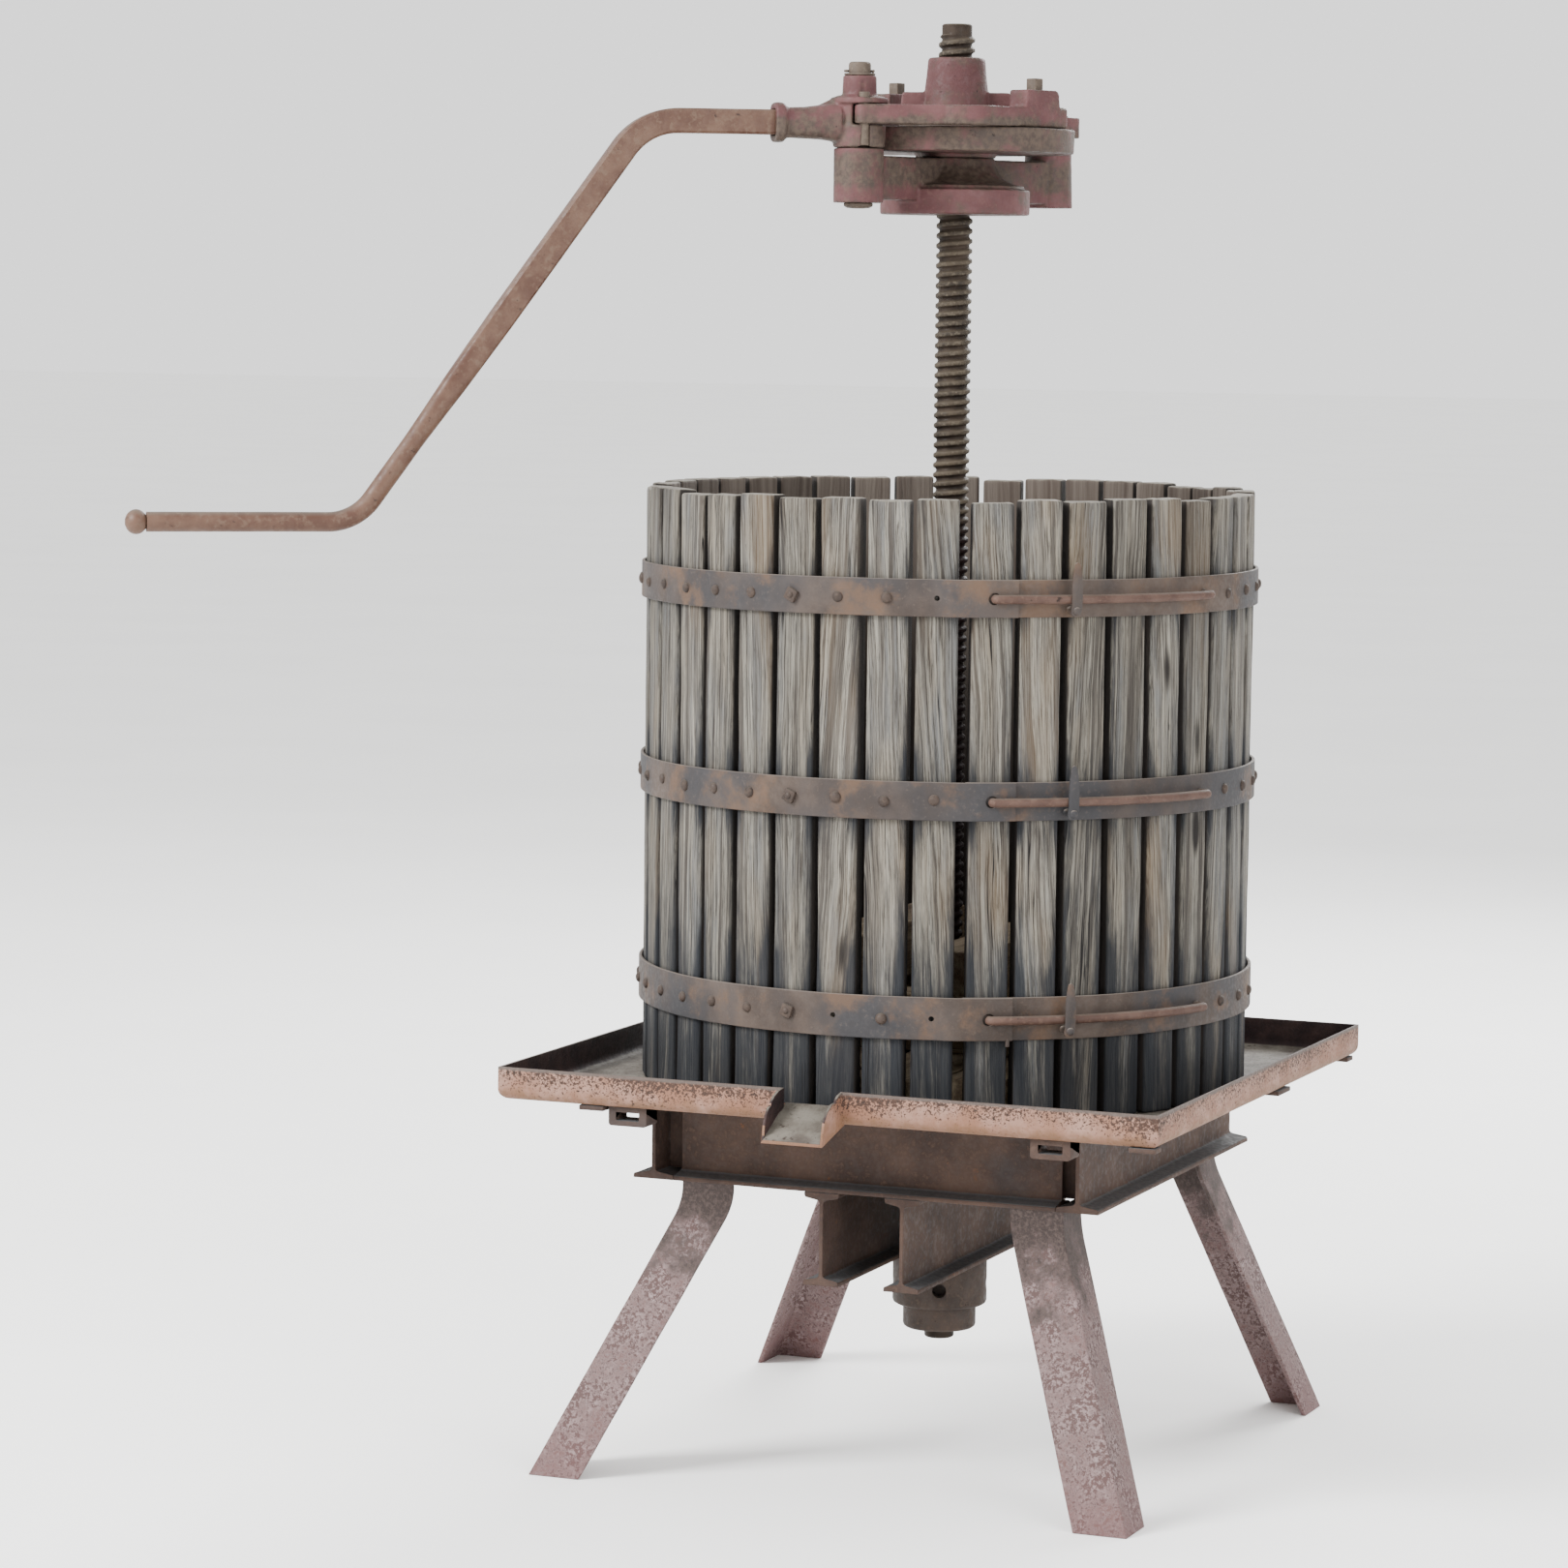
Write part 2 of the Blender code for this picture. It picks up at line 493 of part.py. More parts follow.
def link_outline(side):
    """A connecting link seen from above, in the head's frame, for the link on +Y' or -Y'."""
    eye_x = PIVOT_OFF + side * CRANK * -math.sin(math.radians(LEVER_REST))
    eye_y = CRANK * math.cos(math.radians(LEVER_REST))
    radius = 0.0105
    arc = [(eye_x + radius * math.cos(math.radians(a)), eye_y + radius * math.sin(math.radians(a)))
           for a in (-70, -45, -20, 10, 40, 70)]
    shift = side * CRANK * -math.sin(math.radians(LEVER_REST))
    outer = [(0.110, 0.098), (0.082, 0.1275), (-0.0625, 0.1275)]
    inner = [(-0.0625, 0.1015), (0.068, 0.1015), (0.092, 0.078), (0.130, 0.030)]
    points = arc + [(x + shift, y) for x, y in outer + inner]
    return [head(x, side * y) for x, y in points]


def make_link(name, side, lever_axis):
    """Link, pawl box and drop pin; the eye turns on a crank pin of the lever's head."""
    shift = side * CRANK * -math.sin(math.radians(LEVER_REST))
    eye = head(PIVOT_OFF + shift, side * CRANK * math.cos(math.radians(LEVER_REST)))
    axis = joint("link_" + name + "_axis", (*eye, LINK_BOTTOM), lever_axis)
    outline = link_outline(side)
    link = add("link_" + name, prism(name, outline, LINK_BOTTOM, LINK_TOP), axis, "head_iron")
    pin_x, pin_y = shift - 0.0148, side * 0.1145
    tower = box("tower", (pin_x - 0.0295, min(pin_y - 0.0135, pin_y + 0.0135), LINK_TOP - 0.005),
                (pin_x + 0.0295, max(pin_y - 0.0135, pin_y + 0.0135), BOX_TOP), HEAD_TURN)
    boolean(link, tower, "UNION")
    boolean(link, rod("eye", CRANK_R + GAP, (*eye, 1.50), (*eye, 1.58)), "DIFFERENCE")
    half = 0.007
    slot = box("slot", (pin_x - half - GAP, pin_y - half - GAP, 1.50), (pin_x + half + GAP, pin_y + half + GAP, 1.60), HEAD_TURN)
    boolean(link, slot, "DIFFERENCE")
    pin_axis = joint("drop_pin_" + name + "_axis", head(pin_x, pin_y, LINK_BOTTOM), axis)
    pin = box(name, (pin_x - half, pin_y - half, LINK_BOTTOM), (pin_x + half, pin_y + half, 1.5850), HEAD_TURN)
    add("drop_pin_" + name, pin, pin_axis, "pin_steel")
    return eye


def lever_point(reach, z):
    """A point in the lever's upright plane, by its distance from the pivot."""
    turn = math.radians(HEAD_TURN + LEVER_REST)
    x, y = head(PIVOT_OFF, 0)
    return Vector((x + reach * math.cos(turn), y + reach * math.sin(turn), z))


def make_lever_socket(lever_axis):
    """Two cheeks round the pivot, joined on the outer side, and a tapering arm to the flared mouth."""
    px, py = head(PIVOT_OFF, 0)
    turn = HEAD_TURN + LEVER_REST
    low, high = BOSS_TOP + GAP, 1.5614
    socket = add("lever_socket", rod("lower_cheek", 0.0295, (px, py, low), (px, py, WHEEL_TOP - GAP), 32), lever_axis, "head_iron")
    boolean(socket, rod("upper_cheek", 0.0325, (px, py, LINK_TOP + GAP), (px, py, high), 32), "UNION")
    boolean(socket, rod("top_boss", 0.0190, (px, py, high - 0.002), (px, py, 1.5842), 32), "UNION")
    spine = [(0.0222, -48), (0.0222, -24), (0.0222, 0), (0.0222, 24), (0.0222, 48), (0.0285, 48), (0.0285, 24),
             (0.0285, 0), (0.0285, -24), (0.0285, -48)]
    outline = [(px + polar(r, turn + a)[0], py + polar(r, turn + a)[1]) for r, a in spine]
    boolean(socket, prism("spine", outline, low + 0.004, high - 0.004), "UNION")
    arm = []
    for reach, half_wide, half_high in ((0.024, 0.0240, 0.0235), (0.045, 0.0225, 0.0205), (0.082, 0.0185, 0.0180),
                                        (0.0885, 0.0235, 0.0235), (0.0985, 0.0235, 0.0235)):
        centre = lever_point(reach, LEVER_Z if reach > 0.05 else (LEVER_Z + (low + high) / 2) / 2)
        across = Vector((-math.sin(math.radians(turn)), math.cos(math.radians(turn)), 0))
        arm.append([centre + half_wide * math.cos(a) * across + Vector((0, 0, half_high * math.sin(a)))
                    for a in (2 * math.pi * (k + 0.5) / 16 for k in range(16))])
    boolean(socket, loft("arm", arm), "UNION")
    boolean(socket, rod("pivot_bore", PIVOT_R + GAP, (px, py, 1.48), (px, py, 1.60)), "DIFFERENCE")
    side = BAR_HALF + 2 * GAP
    square = [lever_point(0.034, LEVER_Z), lever_point(0.12, LEVER_Z)]
    boolean(socket, bar_sections("bar_hole", [(point, side, 0.0) for point in square], 4), "DIFFERENCE")
    for mark, name in ((1, "front"), (-1, "rear")):
        eye = head(PIVOT_OFF + mark * CRANK * -math.sin(math.radians(LEVER_REST)),
                   mark * CRANK * math.cos(math.radians(LEVER_REST)))
        boolean(socket, rod("crank_bore", CRANK_R + GAP, (*eye, 1.49), (*eye, 1.58), 16), "DIFFERENCE")
        add("crank_pin_" + name, rod("crank", CRANK_R, (*eye, low + 0.002), (*eye, high + 0.004), 16), lever_axis, "pin_steel")


def bar_sections(name, stations, sides=16):
    """A bar through stations of (centre, half width, roundness), upright to its own path."""
    turn = math.radians(HEAD_TURN + LEVER_REST)
    across = Vector((-math.sin(turn), math.cos(turn), 0))
    rows = []
    for i, (centre, half, roundness) in enumerate(stations):
        before, after = stations[max(i - 1, 0)][0], stations[min(i + 1, len(stations) - 1)][0]
        along = (after - before).normalized()
        up = along.cross(across).normalized()
        row = []
        for k in range(sides):
            a = 2 * math.pi * (k + 0.5) / sides
            c, s = math.cos(a), math.sin(a)
            square = half / max(abs(c), abs(s))
            reach = square + (half - square) * roundness
            row.append(centre + reach * c * across + reach * s * up)
        rows.append(row)
    return loft(name, rows)


def lever_path():
    """Centre line of the lever bar: level, down a slope, level again, with rounded bends."""
    corner_top, corner_low = (0.2447, LEVER_Z), (0.5648, 1.0848)
    slope = math.atan2(corner_top[1] - corner_low[1], corner_low[0] - corner_top[0])
    stations = [(0.036, LEVER_Z, BAR_HALF, 0.0), (0.15, LEVER_Z, BAR_HALF, 0.0)]
    for corner, radius, half, roundness, first in ((corner_top, 0.075, BAR_HALF, 0.0, True),
                                                   (corner_low, 0.060, GRIP_R, 1.0, False)):
        run = radius * math.tan(slope / 2)
        for k in range(6):
            a = slope * k / 5
            if first:
                x = corner[0] - run + radius * math.sin(a)
                z = corner[1] - radius * (1 - math.cos(a))
            else:
                x = corner[0] + run - radius * math.sin(slope - a)
                z = corner[1] + radius * (1 - math.cos(slope - a))
            stations.append((x, z, half, roundness))
        if first:
            for share, width, roundness in ((0.55, BAR_HALF, 0.0), (0.72, 0.0125, 0.6), (0.80, GRIP_R, 1.0)):
                stations.append((corner_top[0] + share * (corner_low[0] - corner_top[0]),
                                 corner_top[1] + share * (corner_low[1] - corner_top[1]), width, roundness))
    for reach, radius in ((0.796, GRIP_R), (0.802, 0.0135), (0.808, 0.0138), (0.8155, 0.010), (0.819, 0.004)):
        stations.append((reach, corner_low[1], radius, 1.0))
    return [(lever_point(reach, z), half, roundness) for reach, z, half, roundness in stations]


def make_head():
    carrier = joint("head_axis", (0, 0, BASE_BOTTOM))
    make_base(carrier)
    make_wheel(joint("nut_axis", (0, 0, PEDESTAL_TOP), carrier))
    px, py = head(PIVOT_OFF, 0)
    pin = rod("pivot", PIVOT_R, (px, py, BOSS_BOTTOM - 0.001), (px, py, 1.5994), 24)
    pivot = add("pivot_pin", pin, carrier, "pin_steel")
    boolean(pivot, rod("pin_head", 0.0165, (px, py, BOSS_BOTTOM - 0.0065), (px, py, BOSS_BOTTOM - GAP), 24), "UNION")
    view = math.radians(22.4)
    ends = [(px + s * 0.0175 * math.cos(view), py + s * 0.0175 * math.sin(view), 1.5885) for s in (-1, 1)]
    boolean(pivot, rod("split_hole", 0.0024, *ends, 12), "DIFFERENCE")
    add("split_pin", rod("split_pin", 0.0019, *ends, 10), carrier, "pin_steel")
    plate = box("plate", (-PIVOT_OFF - 0.040, -0.018, FAR_BOSS_TOP + GAP), (-PIVOT_OFF + 0.0275, 0.018, 1.5485), HEAD_TURN)
    add("boss_plate", plate, carrier, "head_iron")
    at = head(-PIVOT_OFF - 0.020, 0)
    add("boss_bolt", rod("boss_bolt", 0.0085, (*at, 1.5485 + GAP), (*at, 1.5600), 6), carrier, "pin_steel")
    lever_axis = joint("lever_axis", (px, py, BOSS_TOP), carrier)
    make_lever_socket(lever_axis)
    make_link("front", 1, lever_axis)
    make_link("rear", -1, lever_axis)
    bar_axis = joint("lever_bar_axis", lever_point(0.0985, LEVER_Z), lever_axis)
    add("lever_bar", bar_sections("lever_bar", lever_path()), bar_axis, "lever_steel")


make_tray()
make_stand()
make_carry_loops()
make_spindle()
make_basket()
make_stack()
make_head()
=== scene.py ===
"""Looks of the basket wine press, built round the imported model.

Units are metres and +Z is up.  Shapes are drawn about the spindle's axis and moved out to it by piece().
"""

import math
import random

import bmesh
import bpy
from mathutils import Matrix, Vector, noise


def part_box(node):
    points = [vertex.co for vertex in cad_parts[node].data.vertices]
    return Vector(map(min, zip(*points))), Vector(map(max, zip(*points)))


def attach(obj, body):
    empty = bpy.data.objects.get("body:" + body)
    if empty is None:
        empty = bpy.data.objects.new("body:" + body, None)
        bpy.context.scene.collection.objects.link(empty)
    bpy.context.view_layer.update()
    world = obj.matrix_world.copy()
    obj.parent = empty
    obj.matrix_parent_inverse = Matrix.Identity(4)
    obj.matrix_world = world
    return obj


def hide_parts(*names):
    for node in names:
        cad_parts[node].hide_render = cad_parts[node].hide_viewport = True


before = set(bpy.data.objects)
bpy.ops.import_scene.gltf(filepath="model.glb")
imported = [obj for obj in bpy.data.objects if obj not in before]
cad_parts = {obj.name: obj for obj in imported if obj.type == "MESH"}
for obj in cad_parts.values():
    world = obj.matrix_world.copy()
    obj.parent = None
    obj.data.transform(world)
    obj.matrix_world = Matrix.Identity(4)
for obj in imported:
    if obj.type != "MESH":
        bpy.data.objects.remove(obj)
noise.seed_set(1)     # noise_vector takes its offsets from this seed, and from the clock without it
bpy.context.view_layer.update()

SCENE = bpy.context.scene
GAP = 0.0003


def middle(node):
    low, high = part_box(node)
    return (low + high) / 2


AXIS = Vector((middle("spindle").x, middle("spindle").y, 0))

# tray and stand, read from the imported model
TRAY_LOW, TRAY_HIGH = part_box("tray")
TRAY_X = (TRAY_HIGH.x - TRAY_LOW.x) / 2
TRAY_Y = TRAY_HIGH.y - AXIS.y
TRAY_BOTTOM, TRAY_TOP = 0.436, TRAY_HIGH.z
TRAY_SHEET, TRAY_BEND = 0.003, 0.012
SPOUT_LEFT, SPOUT_RIGHT = -0.046, 0.026
FRAME_X, FRAME_FRONT, FRAME_BACK = 0.280, -0.253, 0.297
BEAM_HEIGHT, BEAM_FLANGE = 0.100, 0.050
LOW_HEIGHT, LOW_FLANGE, LOW_APART = 0.106, 0.042, 0.097
WEB, FLANGE_EDGE, FLANGE_ROOT = 0.0045, 0.005, 0.0085
LEG_SIDE, LEG_SHEET = 0.062, 0.006
LEG_TOP_X, LEG_TOP_SHIFT = 0.229, 0.009
LEG_FOOT_X, LEG_FOOT_SHIFT = 0.3585, -0.0105
LEG_FOOT_FRONT, LEG_FOOT_BACK = -0.340, 0.3965

# spindle
SPINDLE_LOW, SPINDLE_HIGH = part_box("spindle")
THREAD_R, CORE_R, LEAD = 0.0208, 0.0172, 0.0114
THREAD_TOP, THREAD_BOTTOM = 1.637, 0.142

# basket
WALL_LOW, WALL_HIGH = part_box("basket_wall_right")
BASKET_BOTTOM, BASKET_RIM = WALL_LOW.z, WALL_HIGH.z
STAVES, STAVE_WIDTH, STAVE_THICK, STAVE_FACE = 20, 0.046, 0.024, 0.3490
STAVE_LONG = 0.68
HOOP_IN, HOOP_THICK = 0.3505, 0.004
HOOP_LEVELS = {"top": (0.9935, 1.0345), "middle": (0.7715, 0.8138), "bottom": (0.5300, 0.5773)}
SPLIT, SPLIT_SPARE, LAP, LAP_RISE = -66.6, 0.5, 9.3, 0.0048
PITCH = (180 - 2 * SPLIT_SPARE) / STAVES
ROD_R, ROD_AT, ROD_START, ROD_END = 0.005, 0.3668, 5.1, 49.8
KEEPER_AT, KEEPER_DROP = 18.9, 0.0125

# head, with X' from the spindle to the lever's pivot
HEAD_TURN, PIVOT_OFF = 250.5, 0.168
BASE_BOTTOM, BASE_R, BASE_TOP, PEDESTAL_TOP = 1.4323, 0.0855, 1.461, 1.4965
BOSS_R, BOSS_BOTTOM, BOSS_TOP, FAR_BOSS_TOP = 0.028, 1.4430, 1.5036, 1.5245
WHEEL_BOTTOM, WHEEL_TOP, WHEEL_R, HUB_TOP = 1.5022, 1.5295, 0.136, 1.6105
HOLES, HOLE_CIRCLE, HOLE_SIDE = 12, 0.115, 0.0175
LINK_BOTTOM, LINK_TOP, BOX_TOP = WHEEL_TOP + GAP, 1.5520, 1.5720
PIVOT_R, CRANK, CRANK_R = 0.0125, 0.024, 0.006
LEVER_REST, LEVER_Z, BAR_HALF, GRIP_R = -36.0, 1.5308, 0.0138, 0.011
LUG_TURNS = (22.4, 202.4)
CAST_VOXEL, CAST_ROUGH = 0.0013, 0.00022
# stands a flat outline up along XZ
UPRIGHT = Matrix(((1, 0, 0, 0), (0, 0, 1, 0), (0, 1, 0, 0), (0, 0, 0, 1)))


# ---------------------------------------------------------------- shapes
def polar(radius, degrees, height=None):
    x, y = radius * math.cos(math.radians(degrees)), radius * math.sin(math.radians(degrees))
    return (x, y) if height is None else (x, y, height)


def head(x, y, z=None):
    """A point of the head's own frame in the press's frame."""
    c, s = math.cos(math.radians(HEAD_TURN)), math.sin(math.radians(HEAD_TURN))
    flat = (x * c - y * s, x * s + y * c)
    return flat if z is None else (*flat, z)


def about_z(degrees):
    return Matrix.Rotation(math.radians(degrees), 4, "Z")

def aimed(at, direction):
    """A place at a point, with its Z along a direction."""
    return Matrix.Translation(at) @ Vector(direction).to_track_quat("Z", "Y").to_matrix().to_4x4()

def circle(steps, shift=0.0):
    """Evenly spaced angles once round, in radians."""
    return [2 * math.pi * (k + shift) / steps for k in range(steps)]

def shaded(mesh, degrees=40):
    """The mesh, smooth except where its faces meet at more than an angle."""
    mesh.shade_smooth()
    mesh.set_sharp_from_angle(angle=math.radians(degrees))
    return mesh

def to_mesh(bm, name, smooth=35.0):
    bmesh.ops.recalc_face_normals(bm, faces=bm.faces)
    mesh = bpy.data.meshes.new(name)
    bm.to_mesh(mesh)
    bm.free()
    return shaded(mesh, smooth)


def changed(mesh, *changes):
    """The mesh after some modifiers, each given as (type, settings)."""
    holder = bpy.data.objects.new("holder", mesh)
    SCENE.collection.objects.link(holder)
    for kind, settings in changes:
        modifier = holder.modifiers.new(kind.lower(), kind)
        for key, value in settings.items():
            setattr(modifier, key, value)
    graph = bpy.context.evaluated_depsgraph_get()
    made = bpy.data.meshes.new_from_object(holder.evaluated_get(graph))
    bpy.data.objects.remove(holder)
    return made


def bevelled(mesh, width, segments=3, angle=30):
    bevel = ("BEVEL", {"width": width, "segments": segments, "limit_method": "ANGLE",
                       "angle_limit": math.radians(angle)})
    return shaded(changed(mesh, bevel))


def combined(mesh, tools, operation, solver="MANIFOLD"):
    """The mesh with each tool mesh joined on or cut away."""
    for tool in tools:
        other = bpy.data.objects.new("tool", tool)
        SCENE.collection.objects.link(other)
        mesh = changed(mesh, ("BOOLEAN", {"operation": operation, "object": other, "solver": solver}))
        bpy.data.objects.remove(other)
    return mesh


def joined(meshes):
    bm = bmesh.new()
    for mesh in meshes:
        bm.from_mesh(mesh)
    made = bpy.data.meshes.new("joined")
    bm.to_mesh(made)
    bm.free()
    return made


def cast(meshes, cuts=(), rounds=4):
    """A casting: shapes melted into one with soft inner and outer corners and a slightly uneven skin."""
    melt = ("REMESH", {"mode": "VOXEL", "voxel_size": CAST_VOXEL})
    mesh = changed(joined(meshes), melt)
    if cuts:
        mesh = changed(combined(mesh, cuts, "DIFFERENCE"), melt)
    mesh = changed(mesh, ("SMOOTH", {"factor": 0.5, "iterations": rounds}))
    spots = [vertex.co.copy() for vertex in mesh.vertices]
    normals = [vertex.normal.copy() for vertex in mesh.vertices]
    for i, (spot, normal) in enumerate(zip(spots, normals)):
        spots[i] = spot + normal * CAST_ROUGH * (noise.noise(spot * 90) + 0.5 * noise.noise(spot * 260))
    mesh.vertices.foreach_set("co", [value for spot in spots for value in spot])
    mesh.update()
    mesh.shade_smooth()
    return mesh


def box(low, high, turn=0.0):
    bm = bmesh.new()
    size = Vector(high) - Vector(low)
    centre = (Vector(high) + Vector(low)) / 2
    place = about_z(turn) @ Matrix.Translation(centre) @ Matrix.Diagonal((*size, 1))
    bmesh.ops.create_cube(bm, size=1, matrix=place)
    return to_mesh(bm, "box")


def rod(radius, start, end, segments=48, end_radius=None):
    bm = bmesh.new()
    along = Vector(end) - Vector(start)
    place = aimed((Vector(start) + Vector(end)) / 2, along)
    last = radius if end_radius is None else end_radius
    bmesh.ops.create_cone(bm, cap_ends=True, segments=segments, radius1=radius, radius2=last,
                          depth=along.length, matrix=place)
    return to_mesh(bm, "rod")


def prism(outline, low, high, place=None):
    return loft([[(x, y, z) for x, y in outline] for z in (low, high)], place)


def loft(sections, place=None, smooth=35.0):
    """A solid through sections that all have the same number of points."""
    bm = bmesh.new()
    rows = [[bm.verts.new(point) for point in section] for section in sections]
    for row, after in zip(rows, rows[1:]):
        for i in range(len(row)):
            j = (i + 1) % len(row)
            bm.faces.new((row[i], row[j], after[j], after[i]))
    bm.faces.new(rows[0])
    bm.faces.new(list(reversed(rows[-1])))
    bmesh.ops.transform(bm, verts=bm.verts, matrix=place or Matrix.Identity(4))
    return to_mesh(bm, "loft", smooth)


def turned(profile, centre=(0, 0), segments=96):
    """A closed profile of (radius, height) turned about Z."""
    bm = bmesh.new()
    columns = []
    for a in circle(segments):
        c, s = math.cos(a), math.sin(a)
        columns.append([bm.verts.new((centre[0] + r * c, centre[1] + r * s, z)) for r, z in profile])
    for k, column in enumerate(columns):
        after = columns[(k + 1) % segments]
        for i in range(len(profile)):
            j = (i + 1) % len(profile)
            bm.faces.new((column[i], column[j], after[j], after[i]))
    bmesh.ops.remove_doubles(bm, verts=bm.verts, dist=1e-6)
    return to_mesh(bm, "turned")


def filleted(outline, radii, steps=4):
    """A closed outline with its corners rounded, by one radius or by one for each corner."""
    if not hasattr(radii, "__len__"):
        radii = [radii] * len(outline)
    points = []
    for i, (corner, radius) in enumerate(zip(outline, radii)):
        corner = Vector(corner)
        before = (Vector(outline[i - 1]) - corner)
        after = (Vector(outline[(i + 1) % len(outline)]) - corner)
        half = before.angle(after) / 2
        cut = min(radius / math.tan(half), 0.49 * before.length, 0.49 * after.length) if radius else 0
        if not cut:
            points.append(tuple(corner))
            continue
        start, end = corner + before.normalized() * cut, corner + after.normalized() * cut
        for k in range(steps + 1):
            t = k / steps
            points.append(tuple((1 - t) ** 2 * start + 2 * t * (1 - t) * corner + t * t * end))
    return points


def tube(points, radius, sides=16):
    """A round bar through points; radius is one number or one for each point."""
    points = [Vector(point) for point in points]
    radii = radius if hasattr(radius, "__len__") else [radius] * len(points)
    across = None
    sections = []
    for i, point in enumerate(points):
        along = (points[min(i + 1, len(points) - 1)] - points[max(i - 1, 0)]).normalized()
        across = along.orthogonal() if across is None else across - along * across.dot(along)
        across.normalize()
        other = along.cross(across)
        sections.append([point + radii[i] * (math.cos(a) * across + math.sin(a) * other)
                         for a in circle(sides)])
    return loft(sections)


def dome(centre, outward, radius, height):
    """A rivet's head: a low dome standing on a flat, a little way into it."""
    rows, sides = 5, 16
    rings = [(radius, -0.001)]
    for row in range(rows):
        lift = math.pi / 2 * row / rows
        rings.append((radius * math.cos(lift), height * math.sin(lift)))
    sections = [[(r * math.cos(a), r * math.sin(a), z) for a in circle(sides)] for r, z in rings]
    return loft(sections, aimed(centre, outward), 60)

def piece(name, mesh, body, slot, stands_for=()):
    """A finished piece: moved out to the spindle, painted, and riding on its body."""
    mesh.transform(Matrix.Translation(AXIS))
    mesh.materials.clear()
    mesh.materials.append(MATERIALS[slot])
    made = bpy.data.objects.new(name, mesh)
    SCENE.collection.objects.link(made)
    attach(made, body)
    if stands_for:
        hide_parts(*stands_for)
    return made


# ---------------------------------------------------------------- materials
class Paint:
    """A material's nodes, written as short calls that return sockets."""

    def __init__(self, name):
        self.material = bpy.data.materials.new(name)
        self.material.use_nodes = True
        self.tree = self.material.node_tree
        self.surface = self.tree.nodes["Principled BSDF"]
        self.place = self.node("ShaderNodeTexCoord").outputs["Object"]
        self.x, self.y, self.z = self.node("ShaderNodeSeparateXYZ", {0: self.place}).outputs
        facing = self.node("ShaderNodeNewGeometry").outputs["Normal"]
        self.up = self.node("ShaderNodeSeparateXYZ", {0: facing}).outputs[2]

    def node(self, kind, inputs=None, **settings):
        made = self.tree.nodes.new(kind)
        for key, value in settings.items():
            setattr(made, key, value)
        for key, value in (inputs or {}).items():
            self.feed(made.inputs[key], value)
        return made

    def feed(self, socket, value):
        """Link a socket to another, or give it a plain value."""
        if isinstance(value, bpy.types.NodeSocket):
            self.tree.links.new(value, socket)
        else:
            socket.default_value = value

    def calc(self, operation, a, b=0.0):
        return self.node("ShaderNodeMath", {0: a, 1: b}, operation=operation).outputs[0]

    def plus(self, a, b):
        return self.calc("ADD", a, b)

    def less(self, a, b):
        return self.calc("SUBTRACT", a, b)

    def times(self, a, b):
        return self.calc("MULTIPLY", a, b)

    def stretched(self, where, x, y, z):
        return self.node("ShaderNodeVectorMath", {0: where, 1: (x, y, z)}, operation="MULTIPLY").outputs[0]

    def noise(self, scale, detail=5.0, roughness=0.6, where=None):
        inputs = {"Vector": where or self.place, "Scale": scale, "Detail": detail, "Roughness": roughness}
        return self.node("ShaderNodeTexNoise", inputs).outputs["Fac"]

    def cells(self, where, output):
        return self.node("ShaderNodeTexVoronoi", {"Vector": where, "Scale": 1.0}).outputs[output]

    def step(self, value, low, high, start=0.0, end=1.0):
        inputs = {"Value": value, "From Min": low, "From Max": high, "To Min": start, "To Max": end}
        return self.node("ShaderNodeMapRange", inputs, interpolation_type="SMOOTHSTEP").outputs[0]

    def attribute(self, name, output="Fac"):
        return self.node("ShaderNodeAttribute", attribute_name=name).outputs[output]

    def ramp(self, value, stops):
        """A curve through (position, value) stops."""
        made = self.node("ShaderNodeValToRGB", {0: value})
        band = made.color_ramp
        while len(band.elements) < len(stops):
            band.elements.new(0.5)
        for element, (position, level) in zip(band.elements, stops):
            element.position = position
            element.color = (level, level, level, 1)
        return made.outputs[0]

    def mix(self, factor, a, b, blend="MIX"):
        made = self.node("ShaderNodeMix", data_type="RGBA", blend_type=blend)
        for key, value in ((0, factor), (6, a), (7, b)):
            self.feed(made.inputs[key], (*value, 1) if isinstance(value, tuple) else value)
        return made.outputs[2]

    def done(self, colour, roughness, height=None, depth=0.001, strength=0.6, specular=0.3,
             tone=(1.18, 0.50)):
        """The finished material; tone is a last factor on the colour's saturation and brightness."""
        inputs = {"Color": colour, "Saturation": tone[0], "Value": tone[1]}
        toned = self.node("ShaderNodeHueSaturation", inputs)
        self.feed(self.surface.inputs["Base Color"], toned.outputs[0])
        self.feed(self.surface.inputs["Roughness"], roughness)
        self.surface.inputs["Specular IOR Level"].default_value = specular
        if height is not None:
            bump = self.node("ShaderNodeBump", {"Height": height, "Distance": depth, "Strength": strength})
            self.tree.links.new(bump.outputs[0], self.surface.inputs["Normal"])
        return self.material


